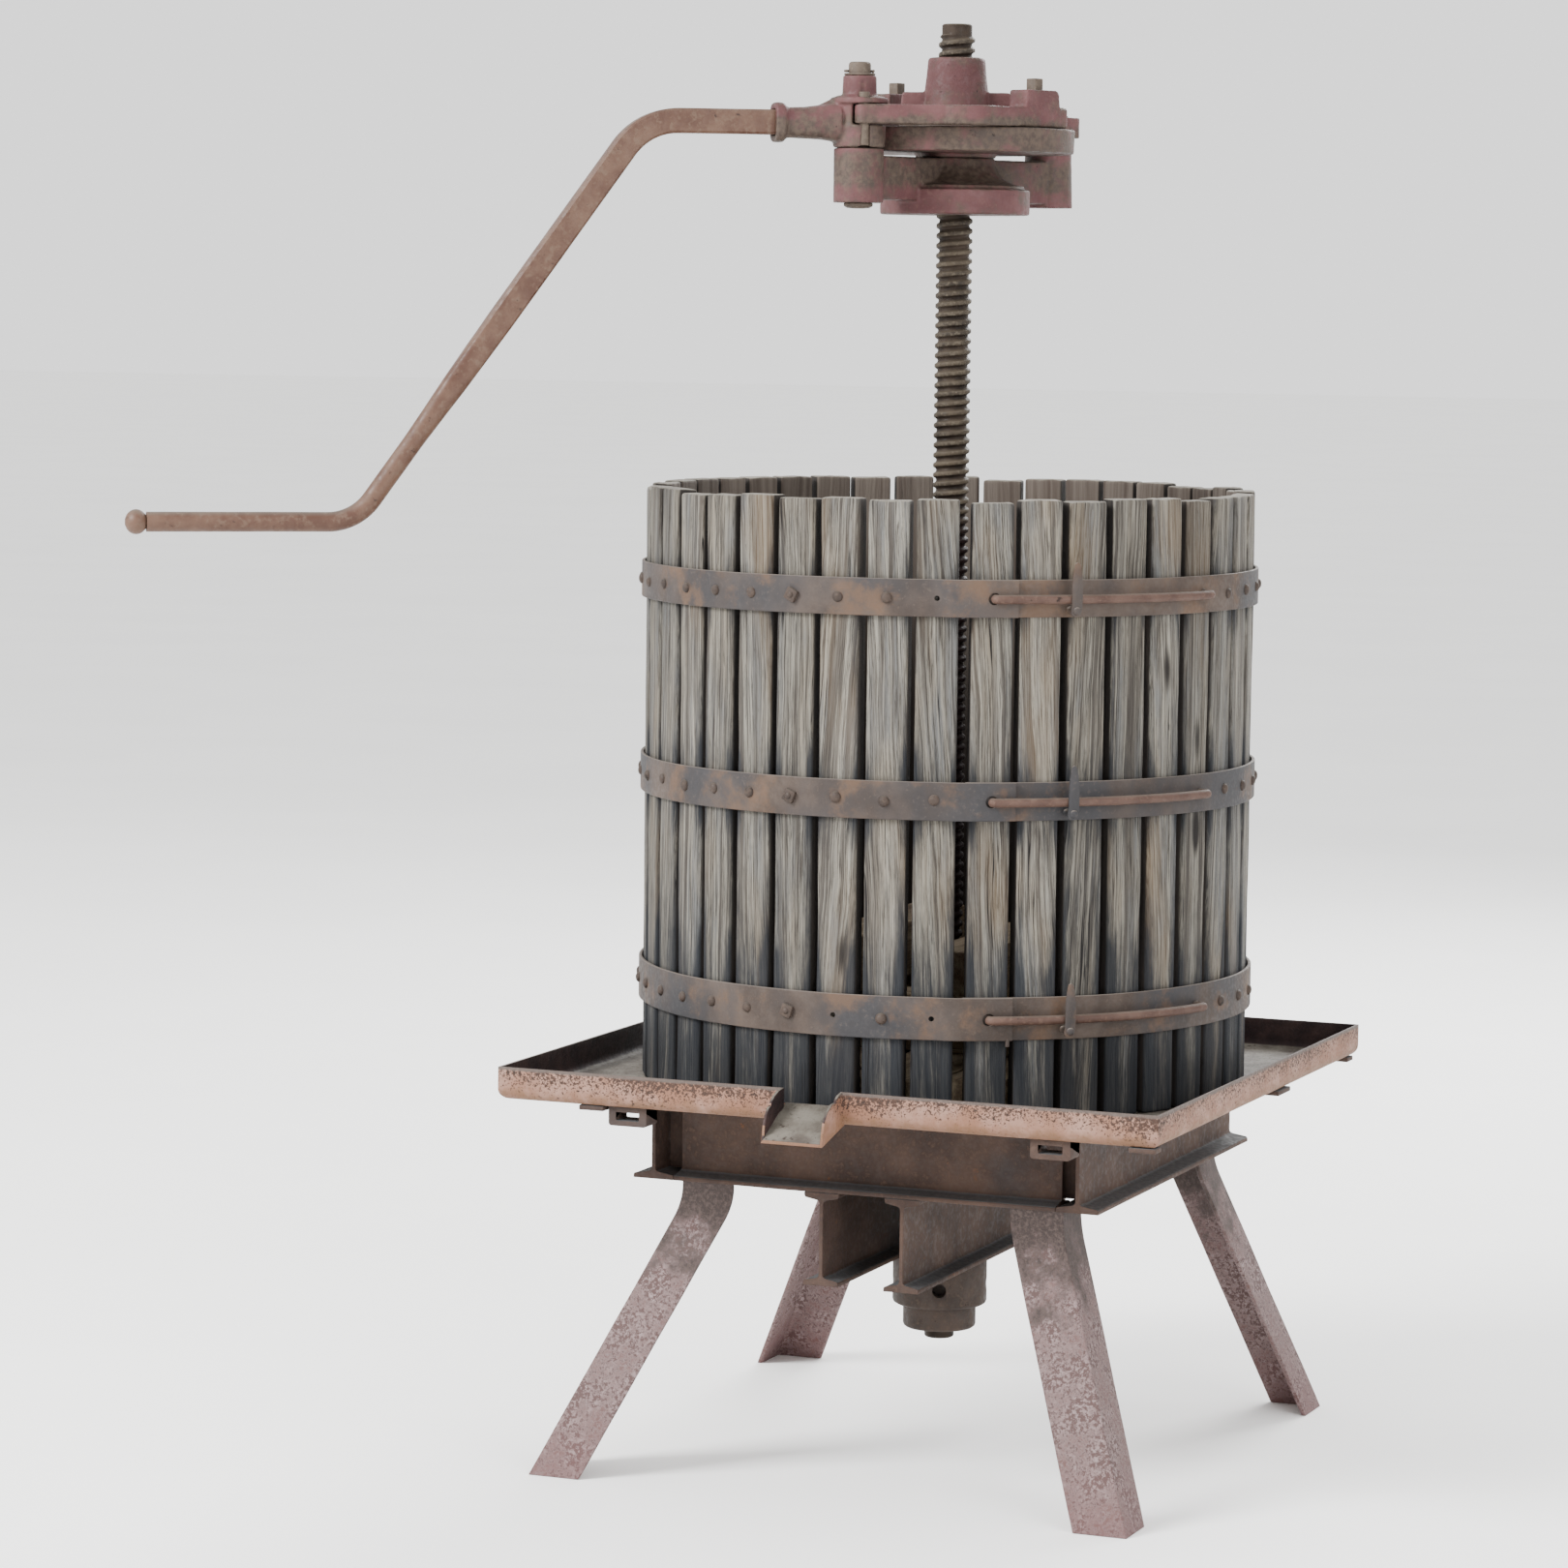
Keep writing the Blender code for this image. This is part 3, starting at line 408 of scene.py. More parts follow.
def stave_oak():
    """Weathered grey oak: fine upright fibres, cracks, sparse knots, and blue-black iron and must stains;
    painted shade on the sides and the inner face, deepest low down inside the basket.
    """
    p = Paint("weathered_oak")
    grain = p.attribute("grain", "Vector")
    across, depth, rise = p.node("ShaderNodeSeparateXYZ", {0: p.attribute("where", "Vector")}).outputs
    tone = p.attribute("tone")
    wander = p.noise(1.0, 3, 0.5, p.stretched(grain, 20, 20, 4.5))
    shift = p.node("ShaderNodeCombineXYZ", {0: p.times(wander, 0.017)}).outputs[0]
    bent = p.node("ShaderNodeVectorMath", {0: grain, 1: shift}, operation="ADD").outputs[0]
    fibres = p.noise(1.0, 6, 0.74, p.stretched(bent, 720, 480, 13))
    streaks = p.noise(1.0, 4, 0.6, p.stretched(bent, 130, 90, 2.4))
    rings = p.noise(1.0, 2, 0.5, p.stretched(bent, 280, 180, 2.4))
    patches = p.noise(1.0, 3, 0.6, p.stretched(grain, 22, 14, 5))
    knot_cell = p.stretched(grain, 26, 5, 6.5)
    knot_near = p.cells(knot_cell, "Distance")
    chosen = p.node("ShaderNodeSeparateXYZ", {0: p.cells(knot_cell, "Color")}).outputs[0]
    knot = p.times(p.step(knot_near, 0.24, 0.10), p.step(chosen, 0.86, 0.87))
    pale = p.mix(p.step(patches, 0.38, 0.62), (0.370, 0.335, 0.280), (0.245, 0.245, 0.238))
    colour = p.mix(p.step(streaks, 0.34, 0.62), (0.120, 0.108, 0.096), pale)
    colour = p.mix(p.times(p.step(rings, 0.46, 0.64), 0.75), colour, (0.450, 0.425, 0.370))
    colour = p.mix(p.step(fibres, 0.56, 0.36), colour, (0.060, 0.052, 0.046))
    pores = p.step(p.noise(1.0, 3, 0.6, p.stretched(bent, 900, 500, 42)), 0.58, 0.68)
    colour = p.mix(p.times(pores, 0.75), colour, (0.070, 0.062, 0.055))
    warm = p.times(p.step(p.noise(1.0, 3, 0.5, p.stretched(grain, 12, 12, 3)), 0.50, 0.68), 0.36)
    colour = p.mix(warm, colour, (0.255, 0.175, 0.105))
    hoops = ((0.0, 1.0), (0.10, 0.92), (0.20, 0.70), (0.30, 0.36), (0.42, 0.20), (0.48, 0.46), (0.56, 0.46),
             (0.62, 0.20), (0.76, 0.14), (0.81, 0.36), (0.88, 0.32), (0.93, 0.10), (1.0, 0.22))
    level = p.ramp(rise, hoops)
    edge_at = p.plus(p.calc("ABSOLUTE", across), p.times(p.less(streaks, 0.5), 0.9))
    rim = p.step(edge_at, 0.35, 1.05)
    patchy = p.plus(p.times(p.noise(1.0, 5, 0.68, p.stretched(grain, 55, 30, 8)), 1.9), -0.95)
    stain = p.plus(p.plus(level, patchy), p.times(rim, p.plus(level, 0.12)))
    stain = p.step(stain, 0.22, 1.15)
    colour = p.mix(p.times(stain, 0.92), colour, (0.018, 0.021, 0.027))
    colour = p.mix(knot, colour, (0.022, 0.018, 0.016))
    crack = p.noise(1.0, 2, 0.4, p.stretched(bent, 150, 60, 1.6))
    split = p.times(p.step(p.calc("ABSOLUTE", p.less(crack, 0.5)), 0.012, 0.003),
                    p.step(p.noise(1.0, 2, 0.5, p.stretched(grain, 30, 30, 5)), 0.56, 0.62))
    colour = p.mix(split, colour, (0.012, 0.010, 0.010))
    # painted shade: the sides and the inner face, more than 5 mm in from the outer face, are painted
    # near-black for the shade in the gaps between staves and inside the basket
    side = p.step(depth, 0.0022, 0.0050)
    dark = p.mix(p.step(streaks, 0.3, 0.7), (0.020, 0.017, 0.016), (0.060, 0.050, 0.044))
    colour = p.mix(p.times(side, 0.95), colour, dark)
    # painted shade inside the basket: the inner face takes back its own wood colour toward the top, so it
    # stays painted dark low down
    inward = p.times(p.step(depth, 0.0222, 0.0234), p.step(rise, 0.55, 0.95, 0.15, 0.8))
    inner_face = p.mix(p.step(streaks, 0.3, 0.7), (0.130, 0.105, 0.090), (0.270, 0.235, 0.205))
    colour = p.mix(inward, colour, inner_face)
    top_end = p.times(p.step(p.up, 0.5, 0.9), p.step(rise, 0.97, 0.99))
    colour = p.mix(top_end, colour, p.mix(p.step(fibres, 0.3, 0.6), (0.20, 0.18, 0.155), (0.40, 0.375, 0.33)))
    colour = p.mix(1.0, colour, tone, "MULTIPLY")
    height = p.plus(p.times(fibres, 0.7), p.times(rings, 0.5))
    height = p.less(height, p.plus(split, knot))
    return p.done(colour, p.step(fibres, 0.2, 0.8, 0.95, 0.72), height, 0.0013, 0.85, 0.2, (1.25, 0.44))


def press_wood():
    """Boards and blocks inside the basket: pale wood soaked with must."""
    p = Paint("pressing_wood")
    grain = p.attribute("grain", "Vector")
    fibres = p.noise(1.0, 6, 0.7, p.stretched(grain, 500, 500, 10))
    streaks = p.noise(1.0, 4, 0.6, p.stretched(grain, 90, 90, 3))
    colour = p.mix(p.step(streaks, 0.3, 0.7), (0.30, 0.23, 0.16), (0.50, 0.42, 0.31))
    colour = p.mix(p.step(fibres, 0.5, 0.3), colour, (0.16, 0.12, 0.09))
    stain = p.step(p.noise(7, 5, 0.6), 0.50, 0.68)
    colour = p.mix(p.times(stain, 0.6), colour, (0.085, 0.028, 0.030))
    return p.done(colour, p.step(fibres, 0.2, 0.8, 0.9, 0.7), fibres, 0.0009, 0.6, 0.25)


def tray_paint():
    """Faded salmon paint, peppered with rust near its top edge, browner below; maroon and dusty inside."""
    p = Paint("tray_paint")
    inside = p.attribute("inside")
    rise = p.step(p.z, TRAY_BOTTOM, TRAY_TOP)
    cloud = p.noise(16, 5, 0.65)
    colour = p.mix(p.step(cloud, 0.36, 0.66), (0.42, 0.225, 0.155), (0.60, 0.38, 0.305))
    low = p.plus(p.less(0.36, rise), p.times(p.less(p.noise(38, 4), 0.5), 1.3))
    colour = p.mix(p.times(p.step(low, -0.02, 0.42), 0.8), colour, (0.30, 0.165, 0.095))
    colour = p.mix(p.times(p.step(p.noise(60, 4, 0.6), 0.50, 0.68), 0.7), colour, (0.40, 0.22, 0.155))
    dense = p.plus(p.times(rise, 0.17), p.times(p.noise(9, 3), 0.30))
    specks = p.noise(260, 5, 0.68)
    spots = p.step(p.plus(specks, dense), 0.79, 0.86)
    colour = p.mix(spots, colour, (0.060, 0.038, 0.030))
    fine = p.step(p.plus(p.noise(520, 2, 0.5), dense), 0.83, 0.87)
    colour = p.mix(p.times(fine, 0.8), colour, (0.13, 0.07, 0.05))
    edge = p.step(p.plus(rise, p.times(p.noise(70, 3), 0.05)), 0.985, 1.02)
    colour = p.mix(edge, colour, (0.20, 0.155, 0.135))
    wall = p.mix(p.step(p.noise(40, 5), 0.35, 0.7), (0.028, 0.014, 0.015), (0.075, 0.042, 0.038))
    dust = p.mix(p.step(p.noise(26, 6, 0.65), 0.35, 0.65), (0.17, 0.145, 0.12), (0.33, 0.30, 0.255))
    dust = p.mix(p.step(p.noise(130, 4, 0.6), 0.60, 0.70), dust, (0.08, 0.06, 0.05))
    dusty = p.step(p.plus(p.up, p.times(p.noise(22, 4), 0.3)), 0.75, 1.0)
    inner = p.mix(dusty, wall, dust)
    colour = p.mix(inside, colour, inner)
    height = p.less(p.times(cloud, 0.3), p.times(spots, 0.7))
    return p.done(colour, p.step(specks, 0.3, 0.7, 0.55, 0.85), height, 0.0006, 0.7, 0.3, (1.12, 0.40))


def beam_steel():
    """Dark brown mill steel, mottled with rust, dusty where it faces up and orange where it is worn."""
    p = Paint("beam_steel")
    cloud = p.noise(11, 6, 0.65)
    fine = p.noise(160, 4, 0.6)
    colour = p.mix(p.step(cloud, 0.34, 0.68), (0.050, 0.031, 0.025), (0.115, 0.074, 0.058))
    colour = p.mix(p.times(p.step(fine, 0.50, 0.70), 0.55), colour, (0.150, 0.105, 0.085))
    colour = p.mix(p.times(p.step(p.noise(5, 3), 0.55, 0.72), 0.5), colour, (0.055, 0.052, 0.055))
    orange = p.times(p.step(p.noise(24, 6, 0.7), 0.62, 0.72), p.step(p.noise(230, 3), 0.42, 0.6))
    colour = p.mix(orange, colour, (0.27, 0.115, 0.050))
    dusty = p.step(p.plus(p.up, p.times(p.noise(35, 5), 0.4)), 0.72, 1.05)
    colour = p.mix(p.times(dusty, 0.85), colour, (0.125, 0.132, 0.138))
    return p.done(colour, p.step(fine, 0.3, 0.7, 0.62, 0.9), p.plus(fine, cloud), 0.0007, 0.5, 0.3)


def leg_paint():
    """Pale lilac paint worn to purple-brown, darker near the frame."""
    p = Paint("leg_paint")
    cloud = p.noise(24, 7, 0.74)
    fine = p.noise(230, 5, 0.7)
    colour = p.mix(p.step(cloud, 0.36, 0.64), (0.165, 0.088, 0.080), (0.420, 0.320, 0.315))
    colour = p.mix(p.times(p.step(fine, 0.44, 0.64), 0.75), colour, (0.50, 0.415, 0.415))
    worn = p.step(p.plus(p.noise(230, 6, 0.78), p.times(cloud, 0.55)), 0.75, 0.84)
    colour = p.mix(p.times(worn, 0.9), colour, (0.100, 0.050, 0.045))
    # darker over the top of the leg, near the frame
    near_frame = p.plus(p.z, p.times(p.less(p.noise(26, 5, 0.7), 0.5), 0.42))
    dark = p.mix(p.step(fine, 0.4, 0.65), (0.058, 0.040, 0.036), (0.135, 0.100, 0.090))
    colour = p.mix(p.step(near_frame, 0.20, 0.31), colour, dark)
    foot = p.plus(p.z, p.times(p.noise(30, 4), 0.10))
    colour = p.mix(p.times(p.step(foot, 0.15, 0.04), 0.35), colour, (0.22, 0.10, 0.10))
    height = p.less(fine, p.times(worn, 0.5))
    return p.done(colour, p.step(fine, 0.3, 0.7, 0.65, 0.85), height, 0.0006, 0.6, 0.3, (1.05, 0.52))


def hoop_steel():
    """Flat bar: brown rust with blue-black scale in patches and a paler upper edge."""
    p = Paint("hoop_steel")
    cloud = p.noise(13, 5, 0.6)
    fine = p.noise(190, 4, 0.6)
    colour = p.mix(p.step(cloud, 0.36, 0.64), (0.090, 0.062, 0.048), (0.185, 0.135, 0.108))
    scale = p.times(p.step(p.noise(7, 4, 0.55, p.stretched(p.place, 1, 1, 0.6)), 0.40, 0.62), 0.85)
    blue = p.mix(p.step(fine, 0.35, 0.65), (0.040, 0.042, 0.050), (0.070, 0.073, 0.083))
    colour = p.mix(scale, colour, blue)
    orange = p.times(p.step(p.noise(15, 5, 0.65), 0.50, 0.66), 0.65)
    colour = p.mix(orange, colour, (0.255, 0.145, 0.085))
    colour = p.mix(p.times(p.step(fine, 0.55, 0.72), 0.35), colour, (0.24, 0.19, 0.16))
    colour = p.mix(p.times(p.step(p.up, 0.3, 0.8), 0.8), colour, (0.34, 0.285, 0.245))
    height = p.plus(fine, cloud)
    return p.done(colour, p.step(fine, 0.3, 0.7, 0.55, 0.82), height, 0.0005, 0.5, 0.3, (1.05, 0.34))


def rusty(name, dark, light, worn, roughness=(0.55, 0.8), crumbs=170):
    """Plain rusty steel between three colours."""
    p = Paint(name)
    cloud = p.noise(28, 5, 0.65)
    fine = p.noise(crumbs, 4, 0.6)
    colour = p.mix(p.step(cloud, 0.34, 0.66), dark, light)
    colour = p.mix(p.times(p.step(fine, 0.50, 0.68), 0.75), colour, worn)
    colour = p.mix(p.step(p.noise(85, 5, 0.7), 0.62, 0.70), colour, tuple(0.35 * c for c in dark))
    dusty = p.times(p.step(p.up, 0.5, 1.0), 0.45)
    colour = p.mix(dusty, colour, (0.25, 0.225, 0.19))
    height = p.plus(fine, cloud)
    return p.done(colour, p.step(fine, 0.3, 0.7, *roughness), height, 0.0005, 0.5, 0.3, (1.1, 0.35))


def spindle_steel():
    """Threaded steel: dark grease and rust in the roots, tan and grey on the rubbed crests."""
    p = Paint("spindle_steel")
    dx, dy = p.less(p.x, AXIS.x), p.less(p.y, AXIS.y)
    radius = p.calc("SQRT", p.plus(p.times(dx, dx), p.times(dy, dy)))
    crest = p.step(radius, 0.0192, 0.0206)
    fine = p.noise(240, 4, 0.6)
    root = p.mix(p.step(p.noise(30, 4), 0.35, 0.65), (0.030, 0.020, 0.015), (0.085, 0.060, 0.044))
    top = p.mix(p.step(p.noise(18, 5, 0.6), 0.35, 0.65), (0.075, 0.060, 0.047), (0.180, 0.140, 0.098))
    colour = p.mix(crest, root, p.mix(p.step(fine, 0.45, 0.70), top, (0.24, 0.20, 0.15)))
    colour = p.mix(p.times(p.step(p.up, 0.3, 0.9), 0.45), colour, (0.22, 0.18, 0.13))
    soaked = p.times(p.step(p.z, BASKET_RIM - 0.02, BASKET_RIM - 0.06), p.step(p.z, 0.43, 0.46))
    colour = p.mix(soaked, colour, (0.020, 0.006, 0.005))
    return p.done(colour, p.step(fine, 0.3, 0.7, 0.45, 0.78), fine, 0.0004, 0.5, 0.12, (1.0, 0.36))


def head_iron():
    """Cast iron in faded purple-red paint, with grey-brown dust round the wheel and the pedestal."""
    p = Paint("head_iron")
    cloud = p.noise(19, 5, 0.62)
    fine = p.noise(150, 5, 0.62)
    colour = p.mix(p.step(cloud, 0.34, 0.68), (0.205, 0.082, 0.085), (0.320, 0.150, 0.150))
    colour = p.mix(p.times(p.step(fine, 0.52, 0.72), 0.5), colour, (0.36, 0.21, 0.19))
    grime = p.mix(p.step(fine, 0.35, 0.65), (0.095, 0.070, 0.052), (0.215, 0.165, 0.125))
    wheel = p.times(p.step(p.z, 1.5015, 1.5045), p.step(p.z, 1.5450, 1.5300))
    neck = p.times(p.step(p.z, 1.4540, 1.4700), p.step(p.z, 1.5050, 1.4940))
    dirty = p.plus(p.times(wheel, 0.20), p.times(neck, 0.17))
    dirty = p.plus(dirty, p.times(p.calc("ABSOLUTE", p.up), 0.10))
    spread = p.plus(p.noise(33, 6, 0.68), dirty)
    colour = p.mix(p.times(p.step(spread, 0.47, 0.74), 0.90), colour, grime)
    chips = p.step(p.noise(95, 4, 0.7), 0.685, 0.715)
    colour = p.mix(chips, colour, (0.055, 0.035, 0.030))
    height = p.less(p.plus(fine, p.times(cloud, 0.6)), chips)
    return p.done(colour, p.step(fine, 0.3, 0.7, 0.52, 0.80), height, 0.0009, 0.65, 0.3, (1.12, 0.29))


MATERIALS = {
    "stave_oak": stave_oak(),
    "press_wood": press_wood(),
    "tray_paint": tray_paint(),
    "beam_steel": beam_steel(),
    "leg_paint": leg_paint(),
    "hoop_steel": hoop_steel(),
    "spindle_steel": spindle_steel(),
    "head_iron": head_iron(),
    "rod_steel": rusty("rod_steel", (0.125, 0.065, 0.048), (0.205, 0.120, 0.092), (0.26, 0.165, 0.13)),
    "nut_steel": rusty("nut_steel", (0.055, 0.036, 0.028), (0.110, 0.075, 0.058), (0.16, 0.115, 0.09)),
    "lever_steel": rusty("lever_steel", (0.150, 0.070, 0.046), (0.255, 0.145, 0.100), (0.29, 0.19, 0.14),
                         (0.45, 0.7), 120),
    "pin_steel": rusty("pin_steel", (0.120, 0.085, 0.062), (0.225, 0.170, 0.130), (0.30, 0.24, 0.19)),
}


# ---------------------------------------------------------------- tray
CHEEK_WHOLE = ((0.012, 0.0015), (0.024, 0.0055), (0.034, 0.0120), (0.0345, 0.0150), (0.040, 0.0165),
               (0.047, 0.0240), (0.0515, 0.0340), (0.053, 0.0450))
CHEEK_TORN = ((0.008, 0.0025), (0.015, 0.0065), (0.0165, 0.0100), (0.019, 0.0090), (0.028, 0.0100),
              (0.040, 0.0165), (0.049, 0.0270), (0.053, 0.0400))
LIP_REACH, LIP_DROP = 0.056, 0.016

def spout_cheek(edge):
    """A cheek's outer edge down to the lip as (reach, height), given (reach, fall) below the wall's top."""
    return [(reach, TRAY_TOP - fall) for reach, fall in edge] + [(LIP_REACH, TRAY_BOTTOM - LIP_DROP)]

def make_tray():
    """A pressed sheet tray: floor, rolled lower bend and low walls, with a spout let into the front wall."""
    steps = 8
    bend = [(TRAY_BEND * (1 - math.sin(a)), TRAY_BOTTOM + TRAY_BEND * (1 - math.cos(a)))
            for a in (math.pi / 2 * k / steps for k in range(steps + 1))]
    wall = [(0, TRAY_BOTTOM + TRAY_BEND + (TRAY_TOP - TRAY_BOTTOM - TRAY_BEND) * k / 4) for k in range(1, 5)]
    profile = [(TRAY_BEND + 0.005, TRAY_BOTTOM)] + bend + wall
    columns = 24
    xs = [-1 + 2 * k / columns for k in range(columns + 1)]
    bm = bmesh.new()
    rings = []
    for inset, height in profile:
        x, y = TRAY_X - inset, TRAY_Y - inset
        wave = 0.0007 * max(0, height - TRAY_BOTTOM - TRAY_BEND) / (TRAY_TOP - TRAY_BOTTOM)
        front = [-x] + [SPOUT_LEFT + (k - 10) * 0.0340 for k in range(1, 10)] + [SPOUT_LEFT, SPOUT_RIGHT]
        front += [SPOUT_RIGHT + k * 0.0360 for k in range(1, 10)]
        ring = [(u, -y) for u in front if abs(u) <= x] + [(x, -y)]
        ring += [(x, y * t) for t in xs[1:]] + [(-x * t, y) for t in xs[1:]]
        ring += [(-x, -y * t) for t in xs[1:-1]]
        left = ring.index((SPOUT_LEFT, -y))
        rings.append([bm.verts.new((u, v + wave * noise.noise((u * 9, v * 9, 1.0)), height))
                      for u, v in ring])
    bm.faces.new(rings[0])
    size = len(rings[0])
    for low, high in zip(rings, rings[1:]):
        for i in range(size):
            if i != left or high is rings[1]:
                j = (i + 1) % size
                bm.faces.new((low[i], low[j], high[j], high[i]))
    lips = []
    for column, x, edge in ((left, SPOUT_LEFT, CHEEK_WHOLE), (left + 1, SPOUT_RIGHT, CHEEK_TORN)):
        lip = [bm.verts.new((x, -TRAY_Y - reach, height)) for reach, height in spout_cheek(edge)]
        bm.faces.new([ring[column] for ring in rings[1:]] + lip)
        lips.append(lip[-1])
    bm.faces.new((rings[1][left + 1], rings[1][left], lips[0], lips[1]))
    bmesh.ops.recalc_face_normals(bm, faces=bm.faces)
    if max(bm.faces, key=lambda face: face.calc_area()).normal.z > 0:
        bmesh.ops.reverse_faces(bm, faces=bm.faces)
    made = to_mesh(bm, "tray", 50)
    shell = ("SOLIDIFY", {"thickness": TRAY_SHEET, "offset": -1, "use_even_offset": True,
                          "thickness_clamp": 0.6})
    made = changed(made, shell)
    made = combined(made, [rod(0.026, (0, 0, 0.40), (0, 0, 0.46))], "DIFFERENCE", "EXACT")
    made = bevelled(made, 0.0007, 2, 50)
    mark = made.attributes.new("inside", "FLOAT", "FACE")
    values = []
    for face in made.polygons:
        c, n = face.center, face.normal
        spout = SPOUT_LEFT < c.x < SPOUT_RIGHT and c.y < -TRAY_Y + 0.02
        if spout:
            inner = n.z > 0.3 or abs(n.x) > 0.5 and (c.x - (SPOUT_LEFT + SPOUT_RIGHT) / 2) * n.x < 0
        else:
            inner = c.x * n.x + c.y * n.y < -0.02 or n.z > 0.95 and c.z < TRAY_BOTTOM + 0.01
        values.append(float(inner))
    mark.data.foreach_set("value", values)
    piece("tray_sheet", shaded(made, 50), "frame", "tray_paint", ["tray"])


def make_cleats():
    """Ends of the flat bars welded under the tray, seen as small tabs below its edge."""
    z = TRAY_BOTTOM - GAP
    spots = [(-0.278, -0.365, 0.030, 0.020), (0.370, -0.366, 0.030, 0.022), (0.376, 0.090, 0.022, 0.046),
             (-0.278, 0.365, 0.030, 0.020), (0.370, 0.366, 0.030, 0.022), (-0.376, 0.090, 0.022, 0.046)]
    for k, (x, y, wide, deep) in enumerate(spots):
        tab = box((x - wide / 2, y - deep / 2, z - 0.0055), (x + wide / 2, y + deep / 2, z))
        piece(f"tray_cleat_{k + 1}", bevelled(tab, 0.0012), "frame", "beam_steel")


# ---------------------------------------------------------------- stand
def beam_outline(height, flange):
    """An I section with tapered flanges, rounded toes and rounded roots."""
    half, top = flange / 2, height / 2
    right = [(half, -top), (half, -top + FLANGE_EDGE), (WEB / 2, -top + FLANGE_ROOT),
             (WEB / 2, top - FLANGE_ROOT), (half, top - FLANGE_EDGE), (half, top)]
    radii = [0.0006, 0.0028, 0.0060, 0.0060, 0.0028, 0.0006]
    return filleted(right + [(-x, -y) for x, y in right], radii * 2)


def make_beam(name, height, flange, centre, length, across):
    stand = Matrix.Rotation(math.pi / 2, 4, "X")
    turn = Matrix.Rotation(math.pi / 2, 4, "Z") if across else Matrix.Identity(4)
    place = Matrix.Translation(centre) @ turn @ stand
    outline, stations = beam_outline(height, flange), 30
    sections = []
    for k in range(stations + 1):
        z = -length / 2 + length * k / stations
        inset = 0.0006 if k in (0, stations) else 0
        sections.append([(x - math.copysign(inset, x), y - math.copysign(inset, y), z) for x, y in outline])
        if k == 0:
            sections.append([(x, y, z + 0.0006) for x, y in outline])
        if k == stations:
            sections.insert(-1, [(x, y, z - 0.0006) for x, y in outline])
    mesh = loft(sections, place)
    for vertex in mesh.vertices:
        vertex.co += 0.00035 * noise.noise_vector(vertex.co * 14)
    piece(name + "_section", mesh, "frame", "beam_steel", [name])


def angle_outline(x, y, z, x_side, y_side):
    """An L whose outer corner is at (x, y) and whose sides point back towards the middle."""
    a, t = LEG_SIDE, LEG_SHEET
    radii = [0.0016, 0.0006, 0.0040, 0.0060, 0.0040, 0.0006]
    outline = filleted([(0, 0), (a, 0), (a, t), (t, t), (t, a), (0, a)], radii)
    return [(x - x_side * u, y - y_side * v, z) for u, v in outline]


def make_leg(x_name, y_name):
    """Angle iron with an easy bend just under the frame, then a straight splay to the ground."""
    x_side, y_side = (-1 if x_name == "left" else 1), (-1 if y_name == "front" else 1)
    top = TRAY_BOTTOM - 2 * GAP - BEAM_HEIGHT
    y_top = FRAME_FRONT + 0.003 if y_side < 0 else FRAME_BACK - 0.003
    y_foot = LEG_FOOT_FRONT if y_side < 0 else LEG_FOOT_BACK
    x_top, x_foot = x_side * LEG_TOP_X + LEG_TOP_SHIFT, x_side * LEG_FOOT_X + LEG_FOOT_SHIFT
    upright, bend = 0.004, 0.038
    low = top - upright - bend
    lean = 0.5 * bend / (top - 0.016)
    rows = [(0.0, top), (0.0, top - upright)]
    rows += [(lean * (k / 8) ** 2, top - upright - bend * k / 8) for k in range(1, 9)]
    rows += [(lean + (1 - lean) * k / 14, low * (1 - k / 14)) for k in range(1, 15)]
    sections = [angle_outline(x_top + (x_foot - x_top) * s, y_top + (y_foot - y_top) * s, z, x_side, y_side)
                for s, z in rows]
    mesh = loft(sections)
    for vertex in mesh.vertices:
        if 0.004 < vertex.co.z < top - 0.002:
            vertex.co += 0.0005 * noise.noise_vector(vertex.co * 12)
    name = f"leg_{y_name}_{x_name}"
    piece(name + "_angle", mesh, "frame", "leg_paint", [name])


def make_stand():
    """A frame of I-beams with a plate closing each corner, two beams below it, and four legs."""
    depth, mid = FRAME_BACK - FRAME_FRONT, (FRAME_BACK + FRAME_FRONT) / 2
    high = TRAY_BOTTOM - GAP - BEAM_HEIGHT / 2
    low = TRAY_BOTTOM - 2 * GAP - BEAM_HEIGHT - LOW_HEIGHT / 2
    half = BEAM_FLANGE / 2
    for side, name in ((-1, "left"), (1, "right")):
        edge, inner = side * (FRAME_X - half), side * LOW_APART / 2
        make_beam("side_beam_" + name, BEAM_HEIGHT, BEAM_FLANGE, (edge, mid, high), depth, False)
        make_beam("lower_beam_" + name, LOW_HEIGHT, LOW_FLANGE, (inner, mid, low), depth, False)
    between = 2 * (FRAME_X - BEAM_FLANGE - GAP)
    for name, y in (("front_beam", FRAME_FRONT + half), ("back_beam", FRAME_BACK - half)):
        make_beam(name, BEAM_HEIGHT, BEAM_FLANGE, (0, y, high), between, True)
        inward = y + math.copysign(0.016, mid - y)
        for side, hand in ((-1, "left"), (1, "right")):
            near, far = sorted((side * (between / 2 - 0.006), side * (FRAME_X - half - 0.004)))
            plate = box((near, inward - 0.0025, high - BEAM_HEIGHT / 2 + 0.009),
                        (far, inward + 0.0025, high + BEAM_HEIGHT / 2 - 0.009))
            piece(f"{name}_plate_{hand}", plate, "frame", "beam_steel")
    for y_name in ("front", "back"):
        for x_name in ("left", "right"):
            make_leg(x_name, y_name)


